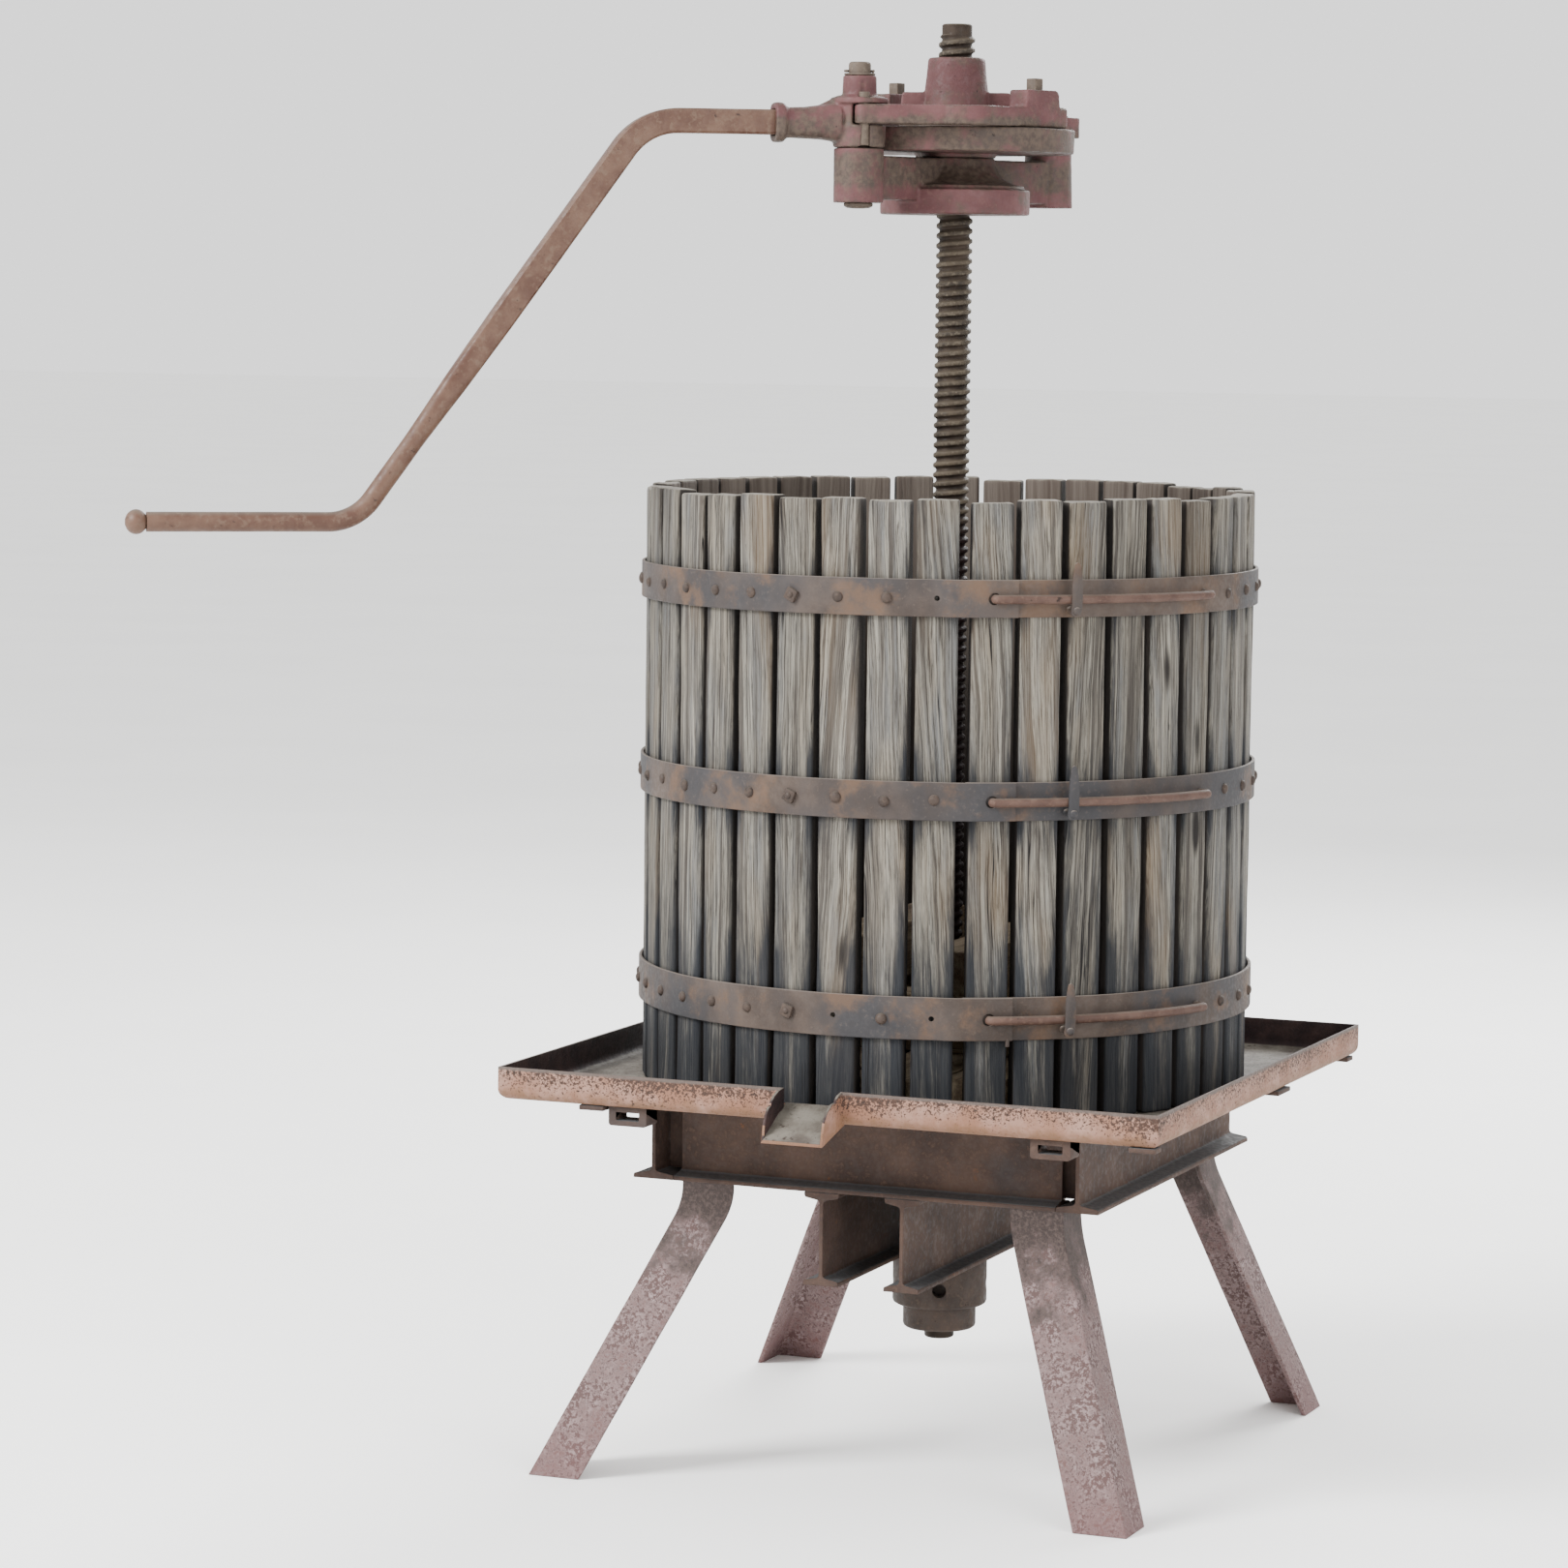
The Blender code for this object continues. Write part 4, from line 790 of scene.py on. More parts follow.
def make_carry_loops():
    """Square staples bent from flat bar, under the tray's front edge."""
    z, front = TRAY_BOTTOM - GAP, -TRAY_Y + 0.013
    for name, x in (("left", -0.236), ("right", 0.2635)):
        outer = filleted([(x - 0.023, z), (x - 0.023, z - 0.0215), (x + 0.023, z - 0.0215), (x + 0.023, z)],
                         [0, 0.004, 0.004, 0], 5)
        inner = filleted([(x + 0.014, z), (x + 0.014, z - 0.0155), (x - 0.014, z - 0.0155), (x - 0.014, z)],
                         [0, 0.002, 0.002, 0], 5)
        bar = prism(outer + inner, front, front + 0.030, UPRIGHT)
        plate = box((x - 0.023, front, z - 0.006), (x + 0.023, front + 0.030, z - 0.0003))
        loop = bevelled(combined(bar, [plate], "UNION", "EXACT"), 0.0009)
        piece(f"carry_loop_{name}_bar", loop, "frame", "beam_steel", ["carry_loop_" + name])


# ---------------------------------------------------------------- spindle
def make_spindle():
    """A right-hand thread with rounded flanks, made as one sheared sheet and closed by its plain ends."""
    per_turn = 32
    tooth = [(0.00, CORE_R), (0.10, CORE_R), (0.20, CORE_R + 0.0007), (0.33, THREAD_R - 0.0005),
             (0.40, THREAD_R), (0.64, THREAD_R), (0.71, THREAD_R - 0.0005), (0.84, CORE_R + 0.0007)]
    turns = math.ceil((THREAD_TOP - THREAD_BOTTOM) / LEAD) + 2
    bm = bmesh.new()
    grid = []
    for i in range(turns * per_turn + 1):
        angle = 2 * math.pi * i / per_turn
        column = []
        for share, radius in tooth:
            z = THREAD_BOTTOM - LEAD + LEAD * (i / per_turn + share)
            fade = min(1, max(0, (z - THREAD_BOTTOM) / 0.004), max(0, (THREAD_TOP - z) / 0.004))
            r = CORE_R + (radius - CORE_R) * fade
            z = min(max(z, THREAD_BOTTOM), THREAD_TOP)
            wear = 1 + 0.010 * noise.noise((math.cos(angle) * 3, math.sin(angle) * 3, z * 60)) * fade
            column.append(bm.verts.new((r * wear * math.cos(angle), r * wear * math.sin(angle), z)))
        grid.append(column)
    last = len(tooth) - 1
    for i in range(len(grid) - 1):
        for k in range(last):
            bm.faces.new((grid[i][k], grid[i + 1][k], grid[i + 1][k + 1], grid[i][k + 1]))
        if i + 1 + per_turn < len(grid):
            bm.faces.new((grid[i][last], grid[i + 1][last], grid[i + 1 + per_turn][0], grid[i + per_turn][0]))
    bmesh.ops.remove_doubles(bm, verts=bm.verts, dist=2e-5)
    bmesh.ops.dissolve_degenerate(bm, edges=bm.edges, dist=1e-6)
    for z, end, sign in ((THREAD_BOTTOM, SPINDLE_LOW.z, 1), (THREAD_TOP, SPINDLE_HIGH.z, -1)):
        rim = [edge for edge in bm.edges
               if edge.is_boundary and all(abs(v.co.z - z) < 1e-5 for v in edge.verts)]
        for radius, height in ((CORE_R, end + sign * 0.0016), (CORE_R - 0.0012, end + sign * 0.0003),
                               (CORE_R - 0.002, end)):
            grown = bmesh.ops.extrude_edge_only(bm, edges=rim)["geom"]
            for vertex in (item for item in grown if isinstance(item, bmesh.types.BMVert)):
                flat = Vector((vertex.co.x, vertex.co.y)).normalized() * radius
                vertex.co = (flat.x, flat.y, height)
            rim = [item for item in grown if isinstance(item, bmesh.types.BMEdge)]
        bmesh.ops.holes_fill(bm, edges=rim)
    piece("spindle_thread", to_mesh(bm, "spindle", 40), "frame", "spindle_steel", ["spindle"])


def make_collar():
    """The round nut that draws the spindle up under the lower beams, and its locking ring."""
    collar_low, top = (corner.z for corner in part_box("spindle_collar"))
    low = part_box("lock_ring")[0].z
    bore, radius, ring = THREAD_R + GAP, 0.055, 0.0425
    collar = turned([(bore, top), (radius - 0.001, top), (radius, top - 0.001),
                     (radius, collar_low + 0.0045), (radius - 0.001, collar_low + 0.0018),
                     (radius - 0.0040, collar_low), (bore, collar_low)])
    holes = [rod(0.008, polar(0.036, turn, 0.193), polar(0.07, turn, 0.193), 32)
             for turn in (20, 110, 200, 290)]
    collar = bevelled(combined(collar, holes, "DIFFERENCE", "EXACT"), 0.0008, 2)
    piece("spindle_collar_nut", collar, "frame", "nut_steel", ["spindle_collar"])
    lock = turned([(bore, collar_low - GAP), (ring - 0.001, collar_low - GAP), (ring, collar_low - 0.0013),
                   (ring, low + 0.004), (ring - 0.001, low + 0.0015), (ring - 0.003, low), (bore, low)])
    piece("lock_ring_nut", lock, "frame", "nut_steel", ["lock_ring"])


# ---------------------------------------------------------------- basket
def stave_mesh(turn, rng):
    """One oak stave: worn edges, a slightly uneven face, and its own grain and tone."""
    half = (STAVE_WIDTH + rng.uniform(-0.0012, 0.0006)) / 2
    rim = BASKET_RIM - rng.choice((0.0, 0.0003, 0.0008, 0.0015, 0.0026, 0.004))
    lean = rng.uniform(-0.0007, 0.0007)
    seed = Vector((rng.uniform(-50, 50), rng.uniform(-50, 50), rng.uniform(-50, 50)))
    outline = filleted([(-half, 0), (half, 0), (half, -STAVE_THICK), (-half, -STAVE_THICK)],
                       [0.0042, 0.0042, 0.0030, 0.0030], 4)
    extra = []
    for i, point in enumerate(outline):
        extra.append(point)
        after = outline[(i + 1) % len(outline)]
        if abs(after[0] - point[0]) > 0.02:
            extra += [(point[0] + (after[0] - point[0]) * t, point[1]) for t in (0.2, 0.4, 0.6, 0.8)]
    outline = extra
    rows = 64
    heights = [BASKET_BOTTOM, BASKET_BOTTOM + 0.0008, BASKET_BOTTOM + 0.0024]
    heights += [BASKET_BOTTOM + 0.006 + (rim - BASKET_BOTTOM - 0.010) * k / rows for k in range(rows + 1)]
    heights += [rim - 0.0018, rim - 0.0005, rim]
    insets = [0.0022, 0.0008, 0.0001] + [0] * (rows + 1) + [0.0002, 0.0009, 0.0024]
    sections, marks = [], []
    for z, inset in zip(heights, insets):
        row = []
        for u, v in outline:
            worn = noise.noise(Vector((u * 40, v * 40, z * 9)) + seed)
            fine = noise.noise(Vector((u * 160, v * 120, z * 22)) + seed)
            corner = min(1, max(0, (abs(u) - half + 0.006) / 0.006)) if v > -0.006 else 0
            depth = v - 0.0005 * (worn + 0.5) - 0.0011 * corner * max(0, worn + fine * 0.8)
            side = u * (1 - inset / half) - math.copysign(0.0006 * corner * max(0, worn), u)
            tip = 0.0011 * noise.noise(Vector((u * 70, v * 60, 3)) + seed) if z > rim - 0.004 else 0
            reach = STAVE_FACE + depth + (inset if v < -0.012 else -inset)
            row.append((reach, side + lean * (z - BASKET_BOTTOM) / STAVE_LONG, min(BASKET_RIM, z + tip)))
            marks.append((u / half, -v, (z - BASKET_BOTTOM) / (BASKET_RIM - BASKET_BOTTOM)))
        sections.append(row)
    mesh = loft(sections, about_z(turn), 50)
    where = mesh.attributes.new("where", "FLOAT_VECTOR", "POINT")
    where.data.foreach_set("vector", [value for mark in marks for value in mark])
    grain = mesh.attributes.new("grain", "FLOAT_VECTOR", "POINT")
    slant = rng.uniform(-0.05, 0.05)
    values = []
    for u, v, z in marks:
        values += [u * half + slant * z * STAVE_LONG + seed.x, v + seed.y, z * STAVE_LONG + seed.z]
    grain.data.foreach_set("vector", values)
    tone = mesh.attributes.new("tone", "FLOAT", "POINT")
    tone.data.foreach_set("value", [rng.uniform(0.80, 1.16)] * len(marks))
    return mesh


def hoop_mesh(start, low, high, seed):
    """A half hoop, from its own side of the split to its lapping end over the other half's hoop."""
    count = 190
    angles = [SPLIT_SPARE + (180 + LAP - SPLIT_SPARE) * k / count for k in range(count + 1)]
    outline = filleted([(0, 0), (HOOP_THICK, 0), (HOOP_THICK, high - low), (0, high - low)], 0.0011, 3)
    sections = []
    for angle in angles:
        risen = min(1, max(0, (angle - 174.0) / 5.0))
        risen = risen * risen * (3 - 2 * risen)
        around = math.radians(start + angle)
        wave = noise.noise((math.cos(around) * 2.2, math.sin(around) * 2.2, seed))
        drop = 0.0006 * wave
        out = 0.0003 * noise.noise((math.cos(around) * 6, math.sin(around) * 6, seed + 4))
        reach = HOOP_IN + out + risen * LAP_RISE
        sections.append([polar(reach + r, start + angle, low + z + drop) for r, z in outline])
    return loft(sections, None, 40)


def stave_turns(start):
    return [start + SPLIT_SPARE + PITCH * (k + 0.5) for k in range(STAVES)]


RIVET_FIRST = 5        # the first stave past a split that shows a rivet, behind the closing rod's end
NUT_STAVE = 16         # the stave whose rivets are replaced by square nuts
MISSING = {("left", "top", 19), ("left", "bottom", 19), ("left", "bottom", 17), ("right", "top", 12),
           ("right", "bottom", 9)}


def make_hoop(side, start, level, body, stands_for):
    low, high = HOOP_LEVELS[level]
    z, face = (low + high) / 2, HOOP_IN + HOOP_THICK
    seed = {"top": 1.0, "middle": 2.0, "bottom": 3.0}[level] + (10 if side == "left" else 0)
    mesh = hoop_mesh(start, low, high, seed)
    turns = stave_turns(start)
    rod_hole = start + 180 + ROD_START
    cuts = [rod(0.0068, polar(face - 0.008, rod_hole, z), polar(face + 0.02, rod_hole, z), 32)]
    for k, turn in enumerate(turns):
        if (side, level, k) in MISSING:
            cuts.append(rod(0.0030, polar(face - 0.008, turn, z), polar(face + 0.01, turn, z), 24))
    mesh = shaded(combined(mesh, cuts, "DIFFERENCE", "EXACT"))
    piece(f"hoop_{level}_{side}_band", mesh, body, "hoop_steel", stands_for)
    rng = random.Random(f"{side}{level}")
    studs = []
    for k, turn in enumerate(turns):
        if k < RIVET_FIRST or (side, level, k) in MISSING:
            continue
        at = Vector(polar(face, turn, z + rng.uniform(-0.0015, 0.0015)))
        outward = Vector(polar(1, turn, 0))
        if k == NUT_STAVE:
            stand = aimed(at, outward) @ Matrix.Rotation(rng.uniform(-0.5, 0.5), 4, "Z")
            square = [(-0.0068, -0.0068), (0.0068, -0.0068), (0.0068, 0.0068), (-0.0068, 0.0068)]
            nut = prism(filleted(square, 0.001, 2), -0.0005, 0.0045, stand)
            studs.append(bevelled(nut, 0.0007, 2))
            studs.append(dome(at + outward * 0.0045, outward, 0.0034, 0.0020))
        else:
            size = rng.uniform(0.0056, 0.0066)
            studs.append(dome(at, outward, size, size * rng.uniform(0.55, 0.75)))
    piece(f"rivets_{level}_{side}", shaded(joined(studs), 50), body, "nut_steel")


def make_half_basket(side, start, body):
    rng = random.Random(f"staves {side}")
    for k, turn in enumerate(stave_turns(start)):
        stands_for = ["basket_wall_" + side] if k == 0 else []
        piece(f"stave_{side}_{k + 1:02d}", stave_mesh(turn, rng), body, "stave_oak", stands_for)
    for level in HOOP_LEVELS:
        make_hoop(side, start, level, body, [] if level == "middle" else [f"hoop_{level}_{side}"])


def make_closing(side, split, body):
    """The bent-ended rods through the lapping hoops, and the turn-button keepers in front of them."""
    face = HOOP_IN + HOOP_THICK
    bend = 0.0048
    for level, (low, high) in HOOP_LEVELS.items():
        z = (low + high) / 2
        turn_by = math.degrees(bend / ROD_AT)
        path = [(face + LAP_RISE + 0.0025, split + ROD_START)]
        path += [(ROD_AT - bend + bend * math.sin(a), split + ROD_START + turn_by * (1 - math.cos(a)))
                 for a in (math.pi / 2 * k / 6 for k in range(1, 7))]
        spread = ROD_END - ROD_START - 2 * turn_by
        path += [(ROD_AT, split + ROD_START + turn_by + spread * k / 24) for k in range(1, 24)]
        path += [(ROD_AT - bend + bend * math.cos(a), split + ROD_END - turn_by * (1 - math.sin(a)))
                 for a in (math.pi / 2 * k / 6 for k in range(0, 7))]
        path.append((face + GAP, split + ROD_END))
        radii = [ROD_R - 0.0012] + [ROD_R] * (len(path) - 1)
        mesh = tube([polar(r, a, z) for r, a in path], radii, 18)
        piece(f"closing_rod_{level}_{side}_bar", mesh, body, "rod_steel", [f"closing_rod_{level}_{side}"])
        make_keeper(f"keeper_{level}_{side}", split + KEEPER_AT, z - KEEPER_DROP)


def make_keeper(name, turn, z):
    """A strip that stands in front of the rod and turns on a rivet below it."""
    front, thick = ROD_AT + ROD_R + 0.0008, 0.003
    outline = [(-0.0068, -0.0030), (-0.0045, -0.0062), (0.0005, -0.0066), (0.0045, -0.0040), (0.0060, 0.0040),
               (0.0064, 0.0150), (0.0062, 0.0280), (0.0052, 0.0400), (0.0036, 0.0500), (0.0008, 0.0534),
               (-0.0020, 0.0520), (-0.0038, 0.0440), (-0.0052, 0.0330), (-0.0056, 0.0200), (-0.0054, 0.0080)]
    outline = filleted(outline, 0.004, 3)
    outward = Matrix(((0, 0, 1, 0), (1, 0, 0, 0), (0, 1, 0, 0), (0, 0, 0, 1)))
    place = about_z(turn) @ Matrix.Translation((0, 0, z)) @ outward
    strip = bevelled(prism(outline, front, front + thick, place), 0.0007, 2, 40)
    stem = rod(0.0042, polar(HOOP_IN + HOOP_THICK + GAP, turn, z), polar(front + GAP, turn, z), 24)
    stem = combined(strip, [stem], "UNION", "EXACT")
    cap = dome(Vector(polar(front + thick, turn, z)), polar(1, turn, 0), 0.0046, 0.0022)
    mesh = shaded(joined([stem, cap]))
    piece(name + "_strip", mesh, name, "hoop_steel", [name])


def make_stub():
    """The little stub left under the bottom hoop's lapping end."""
    low = HOOP_LEVELS["bottom"][0]
    at = polar(HOOP_IN + HOOP_THICK / 2 + LAP_RISE, SPLIT + LAP - 0.8)
    stub = bevelled(rod(0.0024, (*at, low - 0.0065), (*at, low + 0.002), 20), 0.0006, 2)
    piece("hoop_bottom_left_stub", stub, "basket_left", "hoop_steel")


# ---------------------------------------------------------------- pressing stack
def timber(low, high, seed, along):
    """A sawn timber with worn edges and a grain that runs along one axis."""
    mesh = changed(bevelled(box(low, high), 0.003, 3), ("TRIANGULATE", {}))
    grain_marks(mesh, seed, along)
    return mesh


def grain_marks(mesh, seed, along):
    grain = mesh.attributes.new("grain", "FLOAT_VECTOR", "POINT")
    values = []
    for vertex in mesh.vertices:
        spot = list(vertex.co)
        spot[2], spot[along] = spot[along], spot[2]
        values += [spot[0] + seed, spot[1] + 2 * seed, spot[2]]
    grain.data.foreach_set("vector", values)


def make_stack():
    """Two half-round boards of three planks each, and the four blocks that press on them."""
    for k, side in enumerate(("right", "left")):
        low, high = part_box("half_board_" + side)
        low, high = low - AXIS, high - AXIS
        sign = 1 if side == "right" else -1
        start = -90 if side == "right" else 90
        radius = max(abs(low.x), abs(high.x))
        planks = []
        for n in range(3):
            near, far = n * radius / 3 + 0.0035, (n + 1) * radius / 3 - 0.0006
            x0, x1 = sorted((sign * near, sign * far))
            arc = [polar(radius - 0.0005, start + 180 * j / 64) for j in range(65)]
            notch = [polar(0.027, start + 180 - 180 * j / 16) for j in range(17)]
            outline = [(x + sign * 0.003, y) for x, y in arc + notch]
            half = prism(outline, low.z, high.z)
            band = box((x0, -0.5, low.z - 0.01), (x1, 0.5, high.z + 0.01))
            plank = bevelled(combined(half, [band], "INTERSECT", "EXACT"), 0.0015, 2)
            grain_marks(plank, 3.0 * n + 11 * k, 1)
            planks.append(plank)
        mesh = shaded(joined(planks))
        piece(f"half_board_{side}_planks", mesh, "pressing_stack", "press_wood", ["half_board_" + side])
    for k, (name, along) in enumerate((("front", 0), ("back", 0), ("left", 1), ("right", 1))):
        low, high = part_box("block_" + name)
        mesh = timber(low - AXIS, high - AXIS, 5.0 + 7 * k, along)
        piece(f"block_{name}_timber", mesh, "pressing_stack", "press_wood", ["block_" + name])


# ---------------------------------------------------------------- head
def make_base():
    """The casting that pushes down: disc with a raised seat, flared pedestal, and two bosses on ribs."""
    bore = THREAD_R + 0.003
    flare = []
    steps = 10
    for k in range(steps + 1):
        a = math.pi / 2 * k / steps
        flare.append((0.045 + 0.0325 * (1 - math.sin(a)),
                      BASE_TOP + 0.0045 + (PEDESTAL_TOP - BASE_TOP - 0.0045) * (1 - math.cos(a))))
    profile = [(bore, PEDESTAL_TOP)] + list(reversed(flare))
    profile += [(0.0785, BASE_TOP + 0.0045), (0.0790, BASE_TOP), (BASE_R - 0.0004, BASE_TOP),
                (BASE_R, BASE_TOP - 0.001), (BASE_R, BASE_BOTTOM + 0.0008), (BASE_R - 0.0008, BASE_BOTTOM),
                (bore, BASE_BOTTOM)]
    shapes = [turned(profile, segments=128)]
    for sign, top, foot, rim in ((1, BOSS_TOP, BOSS_R, BOSS_R),
                                 (-1, FAR_BOSS_TOP, BOSS_R + 0.0008, BOSS_R - 0.0014)):
        centre = head(sign * PIVOT_OFF, 0)
        shapes.append(rod(foot, (*centre, BOSS_BOTTOM), (*centre, top), 96, rim))
        near, far = sorted((sign * 0.040, sign * (PIVOT_OFF - 0.010)))
        rib = box((near, -0.017, BOSS_BOTTOM + 0.004), (far, 0.017, PEDESTAL_TOP - 0.0006), HEAD_TURN)
        shapes.append(rib)
    centre = head(PIVOT_OFF, 0)
    cuts = [rod(PIVOT_R + GAP, (*centre, 1.40), (*centre, 1.53))]
    piece("head_base_casting", cast(shapes, cuts), "head", "head_iron", ["head_base"])


def make_wheel():
    """The nut: a tall boss with two lugs on a flat wheel with square holes for the drop pins."""
    bore = THREAD_R + 2 * GAP
    profile = [(bore, HUB_TOP), (0.0290, HUB_TOP), (0.0318, HUB_TOP - 0.0010), (0.0327, HUB_TOP - 0.0035),
               (0.0342, 1.5900), (0.0385, 1.5545), (0.0425, WHEEL_TOP + 0.004), (0.0465, WHEEL_TOP),
               (WHEEL_R - 0.0008, WHEEL_TOP), (WHEEL_R, WHEEL_TOP - 0.0012),
               (WHEEL_R - 0.0008, WHEEL_BOTTOM + 0.001), (WHEEL_R - 0.002, WHEEL_BOTTOM),
               (0.046, WHEEL_BOTTOM), (0.046, PEDESTAL_TOP + GAP), (bore, PEDESTAL_TOP + GAP)]
    shapes = [turned(profile, segments=160)]
    lug = [(0.030, WHEEL_TOP - 0.004), (0.0655, WHEEL_TOP - 0.004), (0.0620, 1.5695), (0.0600, 1.5710),
           (0.030, 1.5710)]
    shapes += [prism(lug, -0.013, 0.013, about_z(turn) @ UPRIGHT) for turn in LUG_TURNS]
    half = HOLE_SIDE / 2
    low = (HOLE_CIRCLE - half, -half, WHEEL_BOTTOM - 0.01)
    high = (HOLE_CIRCLE + half, half, WHEEL_TOP + 0.01)
    cuts = [box(low, high, 15 + k * 360 / HOLES) for k in range(HOLES)]
    piece("nut_wheel_casting", cast(shapes, cuts), "nut", "head_iron", ["nut_wheel"])


def crank_eye(side):
    shift = side * CRANK * -math.sin(math.radians(LEVER_REST))
    return shift, head(PIVOT_OFF + shift, side * CRANK * math.cos(math.radians(LEVER_REST)))


def make_link(name, side):
    """Link with its pawl box, and the square drop pin that stands in the box."""
    shift, eye = crank_eye(side)
    radius = 0.0105
    eye_x, eye_y = PIVOT_OFF + shift, CRANK * math.cos(math.radians(LEVER_REST))
    arc = [(eye_x + radius * math.cos(math.radians(a)), eye_y + radius * math.sin(math.radians(a)))
           for a in range(-70, 71, 14)]
    outer = filleted([(0.110, 0.098), (0.082, 0.1275), (-0.0625, 0.1275), (-0.0625, 0.1015), (0.068, 0.1015),
                      (0.092, 0.078), (0.130, 0.030)], [0.03, 0.02, 0.008, 0.008, 0.02, 0.03, 0.0])
    outline = [head(x, side * y) for x, y in arc + [(x + shift, y) for x, y in outer]]
    pin_x, pin_y = shift - 0.0148, side * 0.1145
    low_y, high_y = sorted((pin_y - 0.0135, pin_y + 0.0135))
    bottom = LINK_BOTTOM + 0.0004
    tower = [(pin_x - 0.0295, LINK_TOP - 0.005), (pin_x - 0.0310, LINK_TOP - 0.001),
             (pin_x - 0.0275, BOX_TOP), (pin_x + 0.0280, BOX_TOP), (pin_x + 0.0295, LINK_TOP - 0.005)]
    tower = prism(filleted(tower, [0, 0, 0.006, 0.003, 0]), low_y, high_y, about_z(HEAD_TURN) @ UPRIGHT)
    shapes = [prism(outline, bottom, LINK_TOP), tower]
    if side > 0:
        cheek = [(pin_x - 0.0295, pin_y - 0.0135, bottom), (pin_x + 0.0295, pin_y + 0.0135, LINK_TOP)]
        shapes.append(box(*cheek, HEAD_TURN))
    half = 0.0072
    cuts = [rod(CRANK_R + GAP, (*eye, 1.50), (*eye, 1.58)),
            box((pin_x - half, pin_y - half, 1.50), (pin_x + half, pin_y + half, 1.60), HEAD_TURN)]
    body = "link_" + name
    piece(body + "_casting", cast(shapes, cuts, rounds=3), body, "head_iron", [body])
    low = (pin_x - 0.0068, pin_y - 0.0068, LINK_BOTTOM + 0.0002)
    high = (pin_x + 0.0068, pin_y + 0.0068, 1.5850)
    pin = bevelled(box(low, high, HEAD_TURN), 0.0012, 3)
    piece(f"drop_pin_{name}_bar", pin, "drop_pin_" + name, "pin_steel", ["drop_pin_" + name])


def lever_point(reach, z):
    """A point in the lever's upright plane, by its distance from the pivot."""
    turn = math.radians(HEAD_TURN + LEVER_REST)
    x, y = head(PIVOT_OFF, 0)
    return Vector((x + reach * math.cos(turn), y + reach * math.sin(turn), z))


def make_lever_socket():
    """Two cheeks round the pivot and a tapering arm that ends in a thick rim round the lever bar."""
    px, py = head(PIVOT_OFF, 0)
    turn = HEAD_TURN + LEVER_REST
    low, high = BOSS_TOP + GAP + 0.0003, 1.5614
    shapes = [rod(0.0290, (px, py, low), (px, py, WHEEL_TOP - GAP), 96, 0.0297),
              rod(0.0325, (px, py, LINK_TOP + GAP + 0.0003), (px, py, high - 0.0015), 96, 0.0320),
              rod(0.0270, (px, py, high - 0.003), (px, py, high), 96, 0.0262),
              rod(0.0195, (px, py, high - 0.002), (px, py, 1.5842), 96, 0.0186)]
    arcs = [(0.0222, a) for a in range(-50, 61, 10)] + [(0.0285, a) for a in range(60, -51, -10)]
    outline = [(px + polar(r, turn + a)[0], py + polar(r, turn + a)[1]) for r, a in arcs]
    shapes.append(prism(outline, low + 0.003, high - 0.003))
    across = Vector((-math.sin(math.radians(turn)), math.cos(math.radians(turn)), 0))
    mid = (LEVER_Z + (low + high) / 2) / 2
    arm = [(0.024, 0.0240, 0.0235, mid), (0.035, 0.0230, 0.0218, mid), (0.045, 0.0222, 0.0203, mid)]
    arm += [(reach, wide, tall, LEVER_Z) for reach, wide, tall in (
        (0.062, 0.0200, 0.0188), (0.080, 0.0187, 0.0180), (0.0845, 0.0192, 0.0185), (0.0875, 0.0228, 0.0228),
        (0.0900, 0.0236, 0.0236), (0.0965, 0.0236, 0.0236), (0.0985, 0.0228, 0.0228))]
    sections = []
    for reach, wide, tall, z in arm:
        centre = lever_point(reach, z)
        row = []
        for a in circle(48, 0.5):
            c, s = math.cos(a), math.sin(a)
            soft = (abs(c) ** 3.0 + abs(s) ** 3.0) ** (-1 / 3.0)
            row.append(centre + wide * soft * c * 0.94 * across + Vector((0, 0, tall * soft * s * 0.94)))
        sections.append(row)
    shapes.append(loft(sections))
    web = [lever_point(0.020, high - 0.004), lever_point(0.052, LEVER_Z + 0.013)]
    shapes.append(tube(web, [0.006, 0.004]))
    side = BAR_HALF + 0.0005
    hole = bar_sections([(lever_point(reach, LEVER_Z), side, 0.04) for reach in (0.034, 0.12)])
    cuts = [rod(PIVOT_R + GAP, (px, py, 1.48), (px, py, 1.60)), hole]
    for mark in (1, -1):
        eye = crank_eye(mark)[1]
        cuts.append(rod(CRANK_R + GAP, (*eye, 1.49), (*eye, 1.58), 32))
    piece("lever_socket_casting", cast(shapes, cuts), "lever", "head_iron", ["lever_socket"])
    for mark, name in ((1, "front"), (-1, "rear")):
        eye = crank_eye(mark)[1]
        pin = bevelled(rod(CRANK_R, (*eye, low + 0.002), (*eye, high + 0.004), 48), 0.0009, 3)
        piece(f"crank_pin_{name}_bar", pin, "lever", "pin_steel", ["crank_pin_" + name])


def bar_sections(stations):
    """A bar through stations of (centre, half width, roundness), upright to its own path."""
    turn = math.radians(HEAD_TURN + LEVER_REST)
    across = Vector((-math.sin(turn), math.cos(turn), 0))
    rows = []
    for i, (centre, half, roundness) in enumerate(stations):
        before, after = stations[max(i - 1, 0)][0], stations[min(i + 1, len(stations) - 1)][0]
        along = (after - before).normalized()
        up = along.cross(across).normalized()
        row = []
        power = 2 / (0.20 + 0.80 * roundness)
        for a in circle(32, 0.5):
            c, s = math.cos(a), math.sin(a)
            reach = half * (abs(c) ** power + abs(s) ** power) ** (-1 / power)
            row.append(centre + reach * c * across + reach * s * up)
        rows.append(row)
    return loft(rows)


